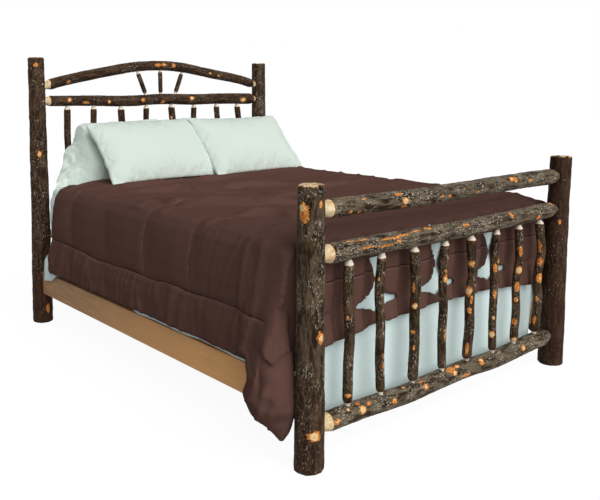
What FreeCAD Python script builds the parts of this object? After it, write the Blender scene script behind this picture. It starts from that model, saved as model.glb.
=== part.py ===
import FreeCAD, Part
import math
import os

# A rustic queen bed of barked hickory logs with plank side rails, made up with its bedding.
# Millimetres. X runs across the bed, +Y points from the foot to the head, Z is up, and the
# origin lies on the floor under the middle of the bedstead.

Vector = FreeCAD.Vector
across = Vector(1, 0, 0)
along = Vector(0, 1, 0)
upward = Vector(0, 0, 1)

# Bedstead: post centres, post heights and post diameters at the floor and at the top
post_spacing_x = 1560
post_spacing_y = 2180
head_post_height = 1462
foot_post_height = 993
head_left_base = 108
head_left_top = 83
head_right_base = 112
head_right_top = 86
foot_left_base = 105
foot_left_top = 87
foot_right_base = 112
foot_right_top = 93
post_edge = 5

# How far each post wanders off plumb, from floor to top, as shares of its base diameter
head_left_sway_shares = (
    (-0.17, 0), (-0.13, 0.03), (-0.06, -0.02), (0.00, 0.03), (0.05, 0.00), (0.09, -0.02))
head_right_sway_shares = (
    (0.10, 0), (0.06, -0.02), (0.07, 0.02), (0.03, -0.02), (0.00, 0.01), (0.01, 0.02))
foot_left_sway_shares = ((-0.08, 0), (-0.05, 0.02), (-0.07, 0.00), (-0.10, -0.02), (-0.09, 0.00))
foot_right_sway_shares = ((0.15, 0), (0.12, -0.02), (0.09, 0.01), (0.08, 0.02), (0.06, 0.00))

# Headboard rails
arch_diameter = 57
arch_end_height = 1316
arch_rise = 117
arch_place_shares = (-0.740, -0.585, -0.422, -0.253, -0.123, 0.029, 0.196, 0.387, 0.588, 0.797)
arch_rise_shares = (0.29, 0.49, 0.69, 0.88, 0.97, 1.00, 0.94, 0.75, 0.54, 0.32)
arch_first_share = 0.04
arch_last_share = 0.16
arch_slope_room = 4
upper_rail_height = 1229
upper_rail_left_diameter = 58
upper_rail_right_diameter = 69
lower_rail_height = 492
lower_rail_diameter = 70

# Footboard rails
foot_top_height = 904
foot_top_left_diameter = 64
foot_top_right_diameter = 70
foot_middle_height = 750
foot_middle_diameter = 70
foot_bottom_height = 146
foot_bottom_left_diameter = 72
foot_bottom_right_diameter = 76

# How each rail wanders between its shoulders, (upward, along the bed), as shares of its diameter
upper_rail_sway_shares = (
    (0, 0), (0.00, 0.04), (-0.08, 0.02), (0.07, -0.03), (0.00, 0.03), (0.05, 0.00), (0, 0))
lower_rail_sway_shares = ((0, 0), (0.04, 0.03), (-0.06, 0.05), (0.02, -0.04), (0.05, 0.02), (0, 0))
foot_top_sway_shares = (
    (0, 0), (-0.05, 0.03), (-0.10, -0.02), (-0.06, 0.04), (-0.02, 0.00), (0.02, -0.03), (0, 0))
foot_middle_sway_shares = (
    (0, 0), (-0.02, 0.03), (-0.06, 0.04), (-0.10, -0.02), (-0.11, 0.02), (-0.08, 0.03), (0, 0))
foot_bottom_sway_shares = (
    (0, 0), (-0.06, 0.03), (-0.15, -0.03), (-0.13, 0.03),
    (-0.08, 0.02), (-0.18, -0.02), (-0.12, 0.03), (0, 0))

# Upright spindles: places across the bed as shares of the post spacing
spindle_diameter = 37
head_spindle_top_shares = (-0.385, -0.282, -0.169, -0.061, 0.053, 0.162, 0.274, 0.382)
head_spindle_base_shares = (-0.397, -0.279, -0.175, -0.057, 0.060, 0.158, 0.279, 0.387)
foot_spindle_top_shares = (-0.389, -0.279, -0.160, -0.041, 0.071, 0.189, 0.299, 0.406)
foot_spindle_base_shares = (-0.383, -0.271, -0.152, -0.033, 0.074, 0.190, 0.300, 0.409)
spindle_girth_shares = (1.00, 0.93, 1.08, 0.94, 1.10, 0.92, 0.97, 1.04)
spindle_bow_shares = (0.18, -0.14, 0.22, -0.10, 0.26, -0.20, 0.12, 0.38)
spindle_crook_shares = (0.10, 0.16, -0.12, 0.14, -0.18, 0.10, -0.20, -0.30)

# Three thin fan spindles under the crown of the arch
fan_diameter = 26
fan_base_spread = 92
fan_tip_spread = 168
fan_shift = 8

# Shaved tenons: length of the domed shoulder, tenon diameter and depth in the mortise
foot_joint_shoulder = 46
foot_joint_diameter = 46
foot_joint_depth = 58
head_joint_shoulder = 34
head_joint_diameter = 38
head_joint_depth = 52
spindle_joint_shoulder = 21
spindle_joint_diameter = 19
spindle_joint_depth = 27
fan_joint_shoulder = 16
fan_joint_diameter = 14
fan_joint_depth = 20
joint_clearance = 0.25
shoulder_gap = 1.5
mortise_end_gap = 2
tenon_edge = 1.5
dome_place_share = 0.42
dome_girth_share = 0.72

# Plank side rails, butted on a flat planed on each post
side_rail_height = 127
side_rail_thickness = 32
side_rail_bottom = 168
side_rail_outer_x = 809
side_rail_edge = 4
post_flat_depth = 42
butt_gap = 0.3

# Bed-rail fasteners: hooks on the rail ends, slotted plates let into the posts
fastener_thickness = 3
rail_plate_width = 24
rail_plate_height = 108
post_plate_width = 22
post_plate_height = 116
plate_clearance = 0.15
hook_blade = 3
hook_neck_height = 12
hook_drop = 6
hook_lip = 5
hook_play = 0.5
hook_spacing = 56
slot_clearance = 0.5
hook_pocket_depth = 14
hook_pocket_side = 9
fastener_screw_spacing = 86

# Wood screws: shank and countersunk or round head
screw_shank = 4
screw_head = 8
screw_head_height = 2.4
screw_length = 30
screw_clearance = 0.2
tenon_screw_head = 11
tenon_screw_head_height = 3.5
tenon_screw_shank = 5
tenon_screw_bite = 8
tenon_screw_sink = 6

# Ledgers, slats and centre legs that carry the box spring
ledger_width = 25
ledger_height = 38
ledger_length = 1900
ledger_screws = 5
slat_thickness = 19
slat_width = 89
slat_count = 5
slat_spread = 1640
slat_end_gap = 2
leg_side = 44
leg_edge = 3
wood_gap = 0.3

# Box spring and mattress
mattress_width = 1524
mattress_length = 2032
mattress_thickness = 305
mattress_corner = 70
mattress_edge = 38
mattress_shift = 8
box_spring_height = 230
box_spring_inset = 6
box_spring_corner = 50
box_spring_edge = 12
soft_gap = 0.4

# Sheets: cloth thickness, where each one ends, and the folds of the foot drop
linen = 1.4
flat_sheet_head = 965
flat_sheet_side_hem = 312
flat_sheet_foot_hem = 140
flat_sheet_corner_trim = 26
flat_sheet_flare = 16
flat_sheet_side_flare = 5
flat_sheet_fold = 9
flat_sheet_side_fold = 4
sheet_side_shares = (0.00, 0.14, 0.30, 0.42, 0.58, 0.70, 0.86, 1.00)
sheet_foot_shares = (0.00, 0.07, 0.15, 0.22, 0.31, 0.38, 0.47, 0.55, 0.62, 0.71, 0.78, 0.86, 0.93, 1.00)
sheet_level_shares = ((0.00, 1.00, 1.00), (0.25, 0.55, 0.60), (0.42, 0.10, 0.12), (1.00, 0.02, 0.03))

# Comforter: a quilted cover with sewn channels, longest at its two foot corners
comforter_top = 800
comforter_hem = 326
comforter_head = 872
comforter_half_width = 850
comforter_foot = 1030
comforter_corner = 105
comforter_shoulder = 62
comforter_foot_shoulder = 40
comforter_puff = 13
comforter_flap_hem = 385
comforter_flap_rise = 50
comforter_flap_half_width = 745
comforter_side_thickness = 34
cover_room = 4
channel_spacing = 370
channel_first_x = -765
channel_first_y = -870
channel_radius = 26
channel_depth = 5

# Each level of the comforter: height, draw-in of the shoulder, and puff, as shares
comforter_level_shares = (
    (0.00, 0.16, 0.30), (0.04, 0.04, 0.80), (0.20, 0.00, 1.00), (0.37, 0.18, 0.30), (0.40, 0.18, 0.30),
    (0.58, 0.12, 1.00), (0.76, 0.22, 0.90), (0.88, 0.40, 0.60), (0.96, 0.80, 0.30), (1.00, 1.60, 0.12),
)

# The loose fold that hangs outside the side rail at each foot corner of the comforter
corner_fold_inner_x = 815
corner_fold_outer_x = 925
corner_fold_head_y = -778
corner_fold_foot_y = -1034
corner_fold_tip = 88
corner_fold_top = 620

# Each level of the corner fold: height, inner side, outer side, head side and foot side, as shares
corner_fold_shares = (
    (0.00, 0.25, 0.36, 0.90, 0.94), (0.06, 0.12, 0.56, 0.70, 0.99), (0.15, 0.05, 0.78, 0.40, 1.00),
    (0.30, 0.02, 1.00, 0.16, 1.00), (0.46, 0.02, 0.88, 0.03, 0.99), (0.62, -0.10, 0.62, 0.00, 0.96),
    (0.82, -0.16, 0.40, 0.08, 0.86), (1.00, -0.18, 0.22, 0.22, 0.66),
)

# Pillows
front_pillow_width = 690
front_pillow_height = 460
front_pillow_thickness = 172
front_pillow_lean = 43
front_pillow_y = 808
front_pillow_z = 954
front_left_pillow_x = -248
front_right_pillow_x = 446
front_right_pillow_forward = 12
back_pillow_width = 690
back_pillow_height = 420
back_pillow_thickness = 140
back_pillow_lean = 24
back_pillow_y = 956
back_pillow_z = 938
back_left_pillow_x = -392
back_right_pillow_x = 350
pillow_draw_in = 16
pillow_contact_y = 915
pillow_contact_z = 960
pillow_contact_lean = 34
pillow_gap = 0.4

# A pillow's half swells like a quarter turn, through this many rings
pillow_rings = 6
pillow_last_turn = 82
pillow_fullness_share = 0.42
pillow_side_fall_share = 1.6
pillow_seam_corner_share = 0.05
pillow_crown_corner_share = 0.42

# Cutting tools run on past the solid by this much, and log tables are smoothed in this many steps
cut_overrun = 20
log_steps = 3
full_turn = 360
diagonal = math.sqrt(1 / 2)
half_x = post_spacing_x / 2
half_y = post_spacing_y / 2


# General helpers
class Joint:
    """A shaved round tenon: the length of its domed shoulder, its diameter and its depth."""

    def __init__(self, shoulder, diameter, depth):
        self.shoulder = shoulder
        self.diameter = diameter
        self.depth = depth


class Log:
    """A round log, given by the centres and radii of its sections from one end to the other."""

    def __init__(self, centres, radii):
        self.centres = centres
        self.radii = radii

    def direction(self, index):
        before = self.centres[max(index - 1, 0)]
        after = self.centres[min(index + 1, len(self.centres) - 1)]
        return (after - before).normalize()

    def where(self, axis, value):
        """Centre and radius at a plane square to an axis: 0 is X and 2 is Z."""
        last = len(self.centres) - 2
        for index in range(last + 1):
            start = self.centres[index]
            end = self.centres[index + 1]
            if value <= end[axis] or index == last:
                break
        share = (value - start[axis]) / (end[axis] - start[axis])
        radius = self.radii[index] + (self.radii[index + 1] - self.radii[index]) * share
        return start + (end - start) * share, radius

    def solid(self):
        rings = []
        for index, centre in enumerate(self.centres):
            circle = Part.Circle(centre, self.direction(index), self.radii[index])
            circle.XAxis = along
            rings.append(Part.Wire(circle.toShape()))
        return Part.makeLoft(rings, True, False)


pieces = {}
cuts = {}


def keep(name, solid):
    """Add a solid to the node of that name."""
    pieces.setdefault(name, []).append(solid)


def cut_from(name, tool):
    """Note a shape to take away from the node of that name."""
    cuts.setdefault(name, []).append(tool)


def box(x_low, x_high, y_low, y_high, z_low, z_high):
    corner = Vector(x_low, y_low, z_low)
    return Part.makeBox(x_high - x_low, y_high - y_low, z_high - z_low, corner)


def centred_box(centre, size_x, size_y, size_z):
    corner = centre - Vector(size_x, size_y, size_z) / 2
    return Part.makeBox(size_x, size_y, size_z, corner)


def aimed(solid, place, direction):
    """Turn a solid that was made along Z to a direction, and move it to its place."""
    solid.Placement = FreeCAD.Placement(place, FreeCAD.Rotation(upward, direction))
    return solid


def edges_where(solid, test):
    return [edge for edge in solid.Edges if test(edge)]


def upright_edges(solid):
    return edges_where(solid, lambda edge: abs(edge.tangentAt(edge.FirstParameter).z) > diagonal)


# Shaved tenons and their mortises
def shaved_end(bark_radius, joint):
    """The domed shoulder and round tenon on the end of a log, made along Z."""
    tenon_radius = joint.diameter / 2
    reach = joint.shoulder + joint.depth
    dome_radius = tenon_radius + (bark_radius - tenon_radius) * dome_girth_share
    bark_rim = Vector(bark_radius, 0, 0)
    dome_point = Vector(dome_radius, 0, joint.shoulder * dome_place_share)
    neck = Vector(tenon_radius, 0, joint.shoulder)
    tip_rim = Vector(tenon_radius, 0, reach - tenon_edge)
    tip_edge = Vector(tenon_radius - tenon_edge, 0, reach)
    tip = Vector(0, 0, reach)
    middle = Vector(0, 0, 0)
    outline = [
        Part.makeLine(middle, bark_rim),
        Part.Arc(bark_rim, dome_point, neck).toShape(),
        Part.makeLine(neck, tip_rim),
        Part.makeLine(tip_rim, tip_edge),
        Part.makeLine(tip_edge, tip),
        Part.makeLine(tip, middle),
    ]
    profile = Part.Face(Part.Wire(outline))
    return profile.revolve(middle, upward, full_turn)


def mortise(joint):
    """The hole for a tenon, made along Z from the log's end like the tenon itself."""
    length = shoulder_gap + joint.depth + mortise_end_gap
    radius = joint.diameter / 2 + joint_clearance
    return Part.makeCylinder(radius, length, Vector(0, 0, joint.shoulder - shoulder_gap))


def keep_tenoned_log(name, log, joint, start_host, end_host):
    """Keep a log with a shaved tenon on each end, and cut its two mortises in the hosts."""
    last = len(log.centres) - 1
    solid = log.solid()
    for index, outward, host in ((0, -1, start_host), (last, 1, end_host)):
        direction = log.direction(index) * outward
        centre = log.centres[index]
        solid = solid.fuse(aimed(shaved_end(log.radii[index], joint), centre, direction))
        cut_from(host, aimed(mortise(joint), centre, direction))
    keep(name, solid)


def eased(pairs, index, rest):
    """A pair between two table rows, on a smooth curve that passes through every row."""
    rows = [pairs[max(min(index + step, len(pairs) - 1), 0)] for step in (-1, 0, 1, 2)]
    result = []
    for before, start, end, after in zip(*rows):
        start_slope = (end - before) / 2
        end_slope = (after - start) / 2
        bend = 3 * (end - start) - 2 * start_slope - end_slope
        twist = 2 * (start - end) + start_slope + end_slope
        result.append(start + start_slope * rest + bend * rest ** 2 + twist * rest ** 3)
    return result


def wandering_log(start, end, start_diameter, end_diameter, first_way, second_way, sway_shares):
    """A log between two centres that wanders off the straight line by shares of its diameter."""
    last = len(sway_shares) - 1
    centres = []
    radii = []
    for step in range(last * log_steps + 1):
        index = min(step // log_steps, last - 1)
        first, second = eased(sway_shares, index, step / log_steps - index)
        share = step / (last * log_steps)
        diameter = start_diameter + (end_diameter - start_diameter) * share
        sway = first_way * (first * diameter) + second_way * (second * diameter)
        centres.append(start + (end - start) * share + sway)
        radii.append(diameter / 2)
    return Log(centres, radii)


# Posts
def make_post(name, x, y, height, base_diameter, top_diameter, sway_shares):
    """A whole post with its two ends sawn square and their edges eased."""
    start = Vector(x, y, 0)
    end = Vector(x, y, height)
    log = wandering_log(start, end, base_diameter, top_diameter, across, along, sway_shares)
    rings = []
    for centre, radius in zip(log.centres, log.radii):
        rings.append(Part.Wire(Part.Circle(centre, upward, radius).toShape()))
    solid = Part.makeLoft(rings, True, False)
    ends = edges_where(solid, lambda edge: edge.BoundBox.ZLength < post_edge)
    keep(name, solid.makeChamfer(post_edge, ends).Solids[0])
    return log


head_left = make_post(
    "head_post_left", -half_x, half_y, head_post_height,
    head_left_base, head_left_top, head_left_sway_shares)
head_right = make_post(
    "head_post_right", half_x, half_y, head_post_height,
    head_right_base, head_right_top, head_right_sway_shares)
foot_left = make_post(
    "foot_post_left", -half_x, -half_y, foot_post_height,
    foot_left_base, foot_left_top, foot_left_sway_shares)
foot_right = make_post(
    "foot_post_right", half_x, -half_y, foot_post_height,
    foot_right_base, foot_right_top, foot_right_sway_shares)


# Rails between the posts
def bark_end(post, z, side, joint):
    """Where a rail's bark stops beside a post: the shaved shoulder fills the rest of the way."""
    centre, radius = post.where(2, z)
    return centre + across * (side * (radius + shoulder_gap + joint.shoulder))


def make_rail(name, left_post, right_post, hosts, z, left_diameter, right_diameter, joint, sway_shares):
    start = bark_end(left_post, z, 1, joint)
    end = bark_end(right_post, z, -1, joint)
    log = wandering_log(start, end, left_diameter, right_diameter, upward, along, sway_shares)
    keep_tenoned_log(name, log, joint, hosts[0], hosts[1])
    return log


head_hosts = ("head_post_left", "head_post_right")
foot_hosts = ("foot_post_left", "foot_post_right")
head_joint = Joint(head_joint_shoulder, head_joint_diameter, head_joint_depth)
foot_joint = Joint(foot_joint_shoulder, foot_joint_diameter, foot_joint_depth)
spindle_joint = Joint(spindle_joint_shoulder, spindle_joint_diameter, spindle_joint_depth)
fan_joint = Joint(fan_joint_shoulder, fan_joint_diameter, fan_joint_depth)

upper_rail = make_rail(
    "head_upper_rail", head_left, head_right, head_hosts, upper_rail_height,
    upper_rail_left_diameter, upper_rail_right_diameter, head_joint, upper_rail_sway_shares)
lower_rail = make_rail(
    "head_lower_rail", head_left, head_right, head_hosts, lower_rail_height,
    lower_rail_diameter, lower_rail_diameter, head_joint, lower_rail_sway_shares)
make_rail(
    "foot_top_rail", foot_left, foot_right, foot_hosts, foot_top_height,
    foot_top_left_diameter, foot_top_right_diameter, foot_joint, foot_top_sway_shares)
foot_middle = make_rail(
    "foot_middle_rail", foot_left, foot_right, foot_hosts, foot_middle_height,
    foot_middle_diameter, foot_middle_diameter, foot_joint, foot_middle_sway_shares)
foot_bottom = make_rail(
    "foot_bottom_rail", foot_left, foot_right, foot_hosts, foot_bottom_height,
    foot_bottom_left_diameter, foot_bottom_right_diameter, foot_joint, foot_bottom_sway_shares)


def make_arch():
    """The bent rail that crowns the headboard."""
    first_z = arch_end_height + arch_rise * arch_first_share
    last_z = arch_end_height + arch_rise * arch_last_share
    centres = [bark_end(head_left, first_z, 1, head_joint) + across * arch_slope_room]
    for place, rise in zip(arch_place_shares, arch_rise_shares):
        centres.append(Vector(half_x * place, half_y, arch_end_height + arch_rise * rise))
    centres.append(bark_end(head_right, last_z, -1, head_joint) - across * arch_slope_room)
    log = Log(centres, [arch_diameter / 2] * len(centres))
    keep_tenoned_log("head_arch_rail", log, head_joint, head_hosts[0], head_hosts[1])
    return log


arch = make_arch()


# Spindles between two rails
def make_upright(name, low, high, low_x, high_x, hosts, diameter, joint, sway_shares):
    """A thin log from the axis of a low rail to the axis of a high one, tenoned in both."""
    low_centre, low_radius = low.where(0, low_x)
    high_centre, high_radius = high.where(0, high_x)
    line = (high_centre - low_centre).normalize()
    slant_room = joint.diameter / 2 * math.sqrt(1 - line.z ** 2) / line.z
    start = low_centre + line * ((low_radius + shoulder_gap) / line.z + slant_room + joint.shoulder)
    end = high_centre - line * ((high_radius + shoulder_gap) / line.z + slant_room + joint.shoulder)
    log = wandering_log(start, end, diameter, diameter, across, along, sway_shares)
    keep_tenoned_log(name, log, joint, hosts[0], hosts[1])


def make_spindles(prefix, low, high, hosts, base_shares, top_shares):
    """Eight spindles, each with its own girth, bow and crook."""
    for index, (base, top) in enumerate(zip(base_shares, top_shares)):
        bow = spindle_bow_shares[index]
        crook = spindle_crook_shares[index]
        sway_shares = ((0, 0), (bow / 2, crook / 2), (bow, -crook / 2), (bow / 2 - crook, crook / 2), (0, 0))
        make_upright(
            prefix + str(index + 1), low, high, post_spacing_x * base, post_spacing_x * top, hosts,
            spindle_diameter * spindle_girth_shares[index], spindle_joint, sway_shares)


make_spindles(
    "head_spindle_", lower_rail, upper_rail, ("head_lower_rail", "head_upper_rail"),
    head_spindle_base_shares, head_spindle_top_shares)
make_spindles(
    "foot_spindle_", foot_bottom, foot_middle, ("foot_bottom_rail", "foot_middle_rail"),
    foot_spindle_base_shares, foot_spindle_top_shares)

straight_shares = ((0, 0), (0, 0))
for fan_name, fan_side in (("fan_spindle_left", -1), ("fan_spindle_centre", 0), ("fan_spindle_right", 1)):
    fan_base_x = fan_shift + fan_base_spread * fan_side
    fan_tip_x = fan_shift + fan_tip_spread * fan_side
    make_upright(
        fan_name, upper_rail, arch, fan_base_x, fan_tip_x, ("head_upper_rail", "head_arch_rail"),
        fan_diameter, fan_joint, straight_shares)


# Screws
def countersunk_screw(length):
    """A wood screw with a flush conical head, made along Z from the head's top."""
    head = Part.makeCone(screw_head / 2, screw_shank / 2, screw_head_height)
    shank = Part.makeCylinder(screw_shank / 2, length - screw_head_height, Vector(0, 0, screw_head_height))
    return head.fuse(shank)


def countersunk_hole(length):
    """The hole for such a screw, a little wider and deeper."""
    spare = screw_clearance
    head = Part.makeCone(screw_head / 2 + spare, screw_shank / 2 + spare, screw_head_height)
    shank = Part.makeCylinder(screw_shank / 2 + spare, length + spare, Vector(0, 0, 0))
    return head.fuse(shank)


def drive_screw(node, place, direction, length, hosts):
    """Keep one countersunk screw, and cut its hole in each piece that it passes through."""
    keep(node, aimed(countersunk_screw(length), place, direction))
    for host in hosts:
        cut_from(host, aimed(countersunk_hole(length), place, direction))


def pin_tenon(post_name, post, rail_name, z, joint, inward):
    """A round-headed screw, sunk in the inner side of a post, that holds the tenon inside it."""
    centre, radius = post.where(2, z)
    into = along * -inward
    aside = radius - joint.depth / 2
    seat_depth = math.sqrt(radius ** 2 - aside ** 2) - tenon_screw_sink
    seat = centre - into * seat_depth - across * math.copysign(aside, centre.x)
    shank_length = seat_depth + tenon_screw_bite
    head_start = Vector(0, 0, -tenon_screw_head_height)
    head = Part.makeCylinder(tenon_screw_head / 2, tenon_screw_head_height, head_start)
    shank = Part.makeCylinder(tenon_screw_shank / 2, shank_length)
    keep("tenon_screws", aimed(head.fuse(shank), seat, into))
    hole = Part.makeCylinder(tenon_screw_shank / 2 + screw_clearance, shank_length + screw_clearance)
    bore = Part.makeCylinder(tenon_screw_head / 2 + screw_clearance, cut_overrun, Vector(0, 0, -cut_overrun))
    cut_from(post_name, aimed(hole.fuse(bore), seat, into))
    cut_from(rail_name, aimed(hole.copy(), seat, into))


for rail_name, left_z, right_z in (
        ("head_arch_rail", arch.centres[0].z, arch.centres[-1].z),
        ("head_upper_rail", upper_rail_height, upper_rail_height),
        ("head_lower_rail", lower_rail_height, lower_rail_height)):
    pin_tenon("head_post_left", head_left, rail_name, left_z, head_joint, -1)
    pin_tenon("head_post_right", head_right, rail_name, right_z, head_joint, -1)
for rail_name, rail_z in (
        ("foot_top_rail", foot_top_height),
        ("foot_middle_rail", foot_middle_height),
        ("foot_bottom_rail", foot_bottom_height)):
    pin_tenon("foot_post_left", foot_left, rail_name, rail_z, foot_joint, 1)
    pin_tenon("foot_post_right", foot_right, rail_name, rail_z, foot_joint, 1)


# Side rails, their fasteners and the flats planed on the posts
side_rail_inner_x = side_rail_outer_x - side_rail_thickness
side_rail_centre_x = side_rail_outer_x - side_rail_thickness / 2
side_rail_top = side_rail_bottom + side_rail_height
side_rail_middle_z = side_rail_bottom + side_rail_height / 2
post_flat_y = half_y - post_flat_depth


def make_side_rail(name, side):
    """A straight plank on edge, with its long edges eased."""
    low_x = min(side * side_rail_inner_x, side * side_rail_outer_x)
    high_x = max(side * side_rail_inner_x, side * side_rail_outer_x)
    end_y = post_flat_y - butt_gap
    plank = box(low_x, high_x, -end_y, end_y, side_rail_bottom, side_rail_top)
    long_edges = edges_where(plank, lambda edge: edge.BoundBox.YLength > side_rail_height)
    keep(name, plank.makeFillet(side_rail_edge, long_edges))


def hook_outline(end_y, outward, low_z):
    """A hook's side view: a neck through the slot and a lip that drops behind the plate."""
    neck = butt_gap + fastener_thickness + hook_play
    tip = neck + hook_lip
    corners = [
        (0, 0), (neck, 0), (neck, -hook_drop), (tip, -hook_drop), (tip, hook_neck_height), (0, hook_neck_height),
    ]
    points = [Vector(0, end_y + outward * out, low_z + rise) for out, rise in corners]
    return Part.Face(Part.makePolygon(points + points[:1]))


def make_fastener(side, outward, rail_name, post_name):
    """One corner's pair of plates: hooks let into the rail's end, slots let into the post's flat."""
    x = side * side_rail_centre_x
    rail_face_y = outward * (post_flat_y - butt_gap)
    post_face_y = outward * post_flat_y
    rail_plate_centre = Vector(x, rail_face_y - outward * fastener_thickness / 2, side_rail_middle_z)
    post_plate_centre = Vector(x, post_face_y + outward * fastener_thickness / 2, side_rail_middle_z)
    rail_plate = centred_box(rail_plate_centre, rail_plate_width, fastener_thickness, rail_plate_height)
    post_plate = centred_box(post_plate_centre, post_plate_width, fastener_thickness, post_plate_height)
    spare = 2 * plate_clearance
    cut_from(rail_name, centred_box(
        rail_plate_centre, rail_plate_width + spare, fastener_thickness, rail_plate_height + spare))
    cut_from(post_name, centred_box(
        post_plate_centre, post_plate_width + spare, fastener_thickness, post_plate_height + spare))
    for rise in (-hook_spacing / 2, hook_spacing / 2):
        low_z = side_rail_middle_z + rise - hook_neck_height / 2
        hook = hook_outline(rail_face_y, outward, low_z).extrude(across * hook_blade)
        hook.translate(across * (x - hook_blade / 2))
        rail_plate = rail_plate.fuse(hook)
        slot_height = hook_neck_height + hook_drop + 2 * slot_clearance
        slot_centre = Vector(x, post_plate_centre.y, low_z - slot_clearance + slot_height / 2)
        slot_width = hook_blade + 2 * slot_clearance
        post_plate = post_plate.cut(centred_box(slot_centre, slot_width, 2 * fastener_thickness, slot_height))
        pocket_y = post_face_y + outward * (fastener_thickness + hook_pocket_depth / 2)
        pocket_centre = Vector(x, pocket_y, low_z + (hook_neck_height - hook_drop) / 2)
        cut_from(post_name, centred_box(
            pocket_centre, hook_pocket_side, hook_pocket_depth, slot_height + hook_drop + hook_neck_height))
    keep("rail_hook_plates", rail_plate)
    keep("post_slot_plates", post_plate)
    for rise in (-fastener_screw_spacing / 2, fastener_screw_spacing / 2):
        z = side_rail_middle_z + rise
        drive_screw(
            "fastener_screws", Vector(x, rail_face_y, z), along * -outward, screw_length,
            (rail_name, "rail_hook_plates"))
        drive_screw(
            "fastener_screws", Vector(x, post_face_y, z), along * outward, screw_length,
            (post_name, "post_slot_plates"))


for side_name, side_sign in (("left", -1), ("right", 1)):
    make_side_rail("side_rail_" + side_name, side_sign)
    for end_name, end_sign in (("foot", -1), ("head", 1)):
        flat_x = side_sign * half_x
        flat_low = min(end_sign * (post_flat_y - cut_overrun), end_sign * post_flat_y)
        flat_high = max(end_sign * (post_flat_y - cut_overrun), end_sign * post_flat_y)
        cut_from(end_name + "_post_" + side_name, box(
            flat_x - foot_right_base, flat_x + foot_right_base, flat_low, flat_high,
            side_rail_bottom - butt_gap, side_rail_top + butt_gap))
        make_fastener(side_sign, end_sign, "side_rail_" + side_name, end_name + "_post_" + side_name)


# Ledgers, slats and centre legs
ledger_top = side_rail_bottom + ledger_height
slat_bottom = ledger_top + wood_gap
slat_top = slat_bottom + slat_thickness


def make_ledger(name, side, rail_name):
    """A strip screwed to the inside of a side rail, level with its bottom edge."""
    outer_x = side * side_rail_inner_x
    inner_x = side * (side_rail_inner_x - ledger_width)
    keep(name, box(
        min(outer_x, inner_x), max(outer_x, inner_x), -ledger_length / 2, ledger_length / 2,
        side_rail_bottom, ledger_top))
    pitch = ledger_length / ledger_screws
    for index in range(ledger_screws):
        y = pitch * (index + 1 / 2) - ledger_length / 2
        head = Vector(inner_x, y, side_rail_bottom + ledger_height / 2)
        length = ledger_width + side_rail_thickness / 2
        drive_screw("ledger_screws", head, across * side, length, (name, rail_name))


make_ledger("ledger_left", -1, "side_rail_left")
make_ledger("ledger_right", 1, "side_rail_right")


def make_leg(name, slat_name, y):
    """A short square block under the middle of a slat, standing on the floor."""
    leg = box(-leg_side / 2, leg_side / 2, y - leg_side / 2, y + leg_side / 2, 0, slat_bottom)
    keep(name, leg.makeChamfer(leg_edge, upright_edges(leg)))
    drive_screw("slat_screws", Vector(0, y, slat_top), upward * -1, screw_length * 2, (slat_name, name))


def make_slats():
    half_length = side_rail_inner_x - slat_end_gap
    pitch = slat_spread / (slat_count - 1)
    screw_x = side_rail_inner_x - ledger_width / 2
    for index in range(slat_count):
        name = "slat_" + str(index + 1)
        y = pitch * index - slat_spread / 2
        keep(name, box(
            -half_length, half_length, y - slat_width / 2, y + slat_width / 2, slat_bottom, slat_top))
        for x, ledger in ((-screw_x, "ledger_left"), (screw_x, "ledger_right")):
            drive_screw("slat_screws", Vector(x, y, slat_top), upward * -1, screw_length, (name, ledger))
        if index % 2 == 0:
            make_leg("centre_leg_" + str(index // 2 + 1), name, y)


make_slats()


# Box spring and mattress
def rounded_block(half_width, foot_y, head_y, low_z, high_z, corner, edge):
    block = box(-half_width, half_width, foot_y, head_y, low_z, high_z)
    block = block.makeFillet(corner, upright_edges(block))
    rims = edges_where(block, lambda item: item.BoundBox.ZLength < edge)
    return block.makeFillet(edge, rims)


mattress_half = mattress_width / 2
mattress_foot_y = mattress_shift - mattress_length / 2
mattress_head_y = mattress_shift + mattress_length / 2
box_spring_bottom = slat_top + soft_gap
mattress_bottom = box_spring_bottom + box_spring_height + soft_gap
mattress_top = mattress_bottom + mattress_thickness

keep("box_spring", rounded_block(
    mattress_half - box_spring_inset, mattress_foot_y + box_spring_inset, mattress_head_y - box_spring_inset,
    box_spring_bottom, box_spring_bottom + box_spring_height, box_spring_corner, box_spring_edge))
keep("mattress", rounded_block(
    mattress_half, mattress_foot_y, mattress_head_y, mattress_bottom, mattress_top,
    mattress_corner, mattress_edge))


# Draped covers: sheets and comforter
def bulged_side(start, end, marks, outward, puff):
    """Arcs from mark to mark along one side, each standing out by the puff at its middle."""
    edges = []
    for first, second in zip(marks, marks[1:]):
        low = start + (end - start) * first
        high = start + (end - start) * second
        middle = (low + high) / 2 + outward * puff
        edges.append(Part.Arc(low, middle, high).toShape())
    return edges


def folded_side(start, end, marks, outward, fold):
    """Arcs from mark to mark that stand out and in by turns, as folds of hanging cloth do."""
    edges = []
    for index, (first, second) in enumerate(zip(marks, marks[1:])):
        low = start + (end - start) * first
        high = start + (end - start) * second
        sign = 1 if index % 2 == 0 else -1
        middle = (low + high) / 2 + outward * (fold * sign)
        edges.append(Part.Arc(low, middle, high).toShape())
    return edges


def corner_arc(start, end, centre, radius):
    outward = ((start + end) / 2 - centre).normalize()
    return Part.Arc(start, centre + outward * radius, end).toShape()


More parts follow.
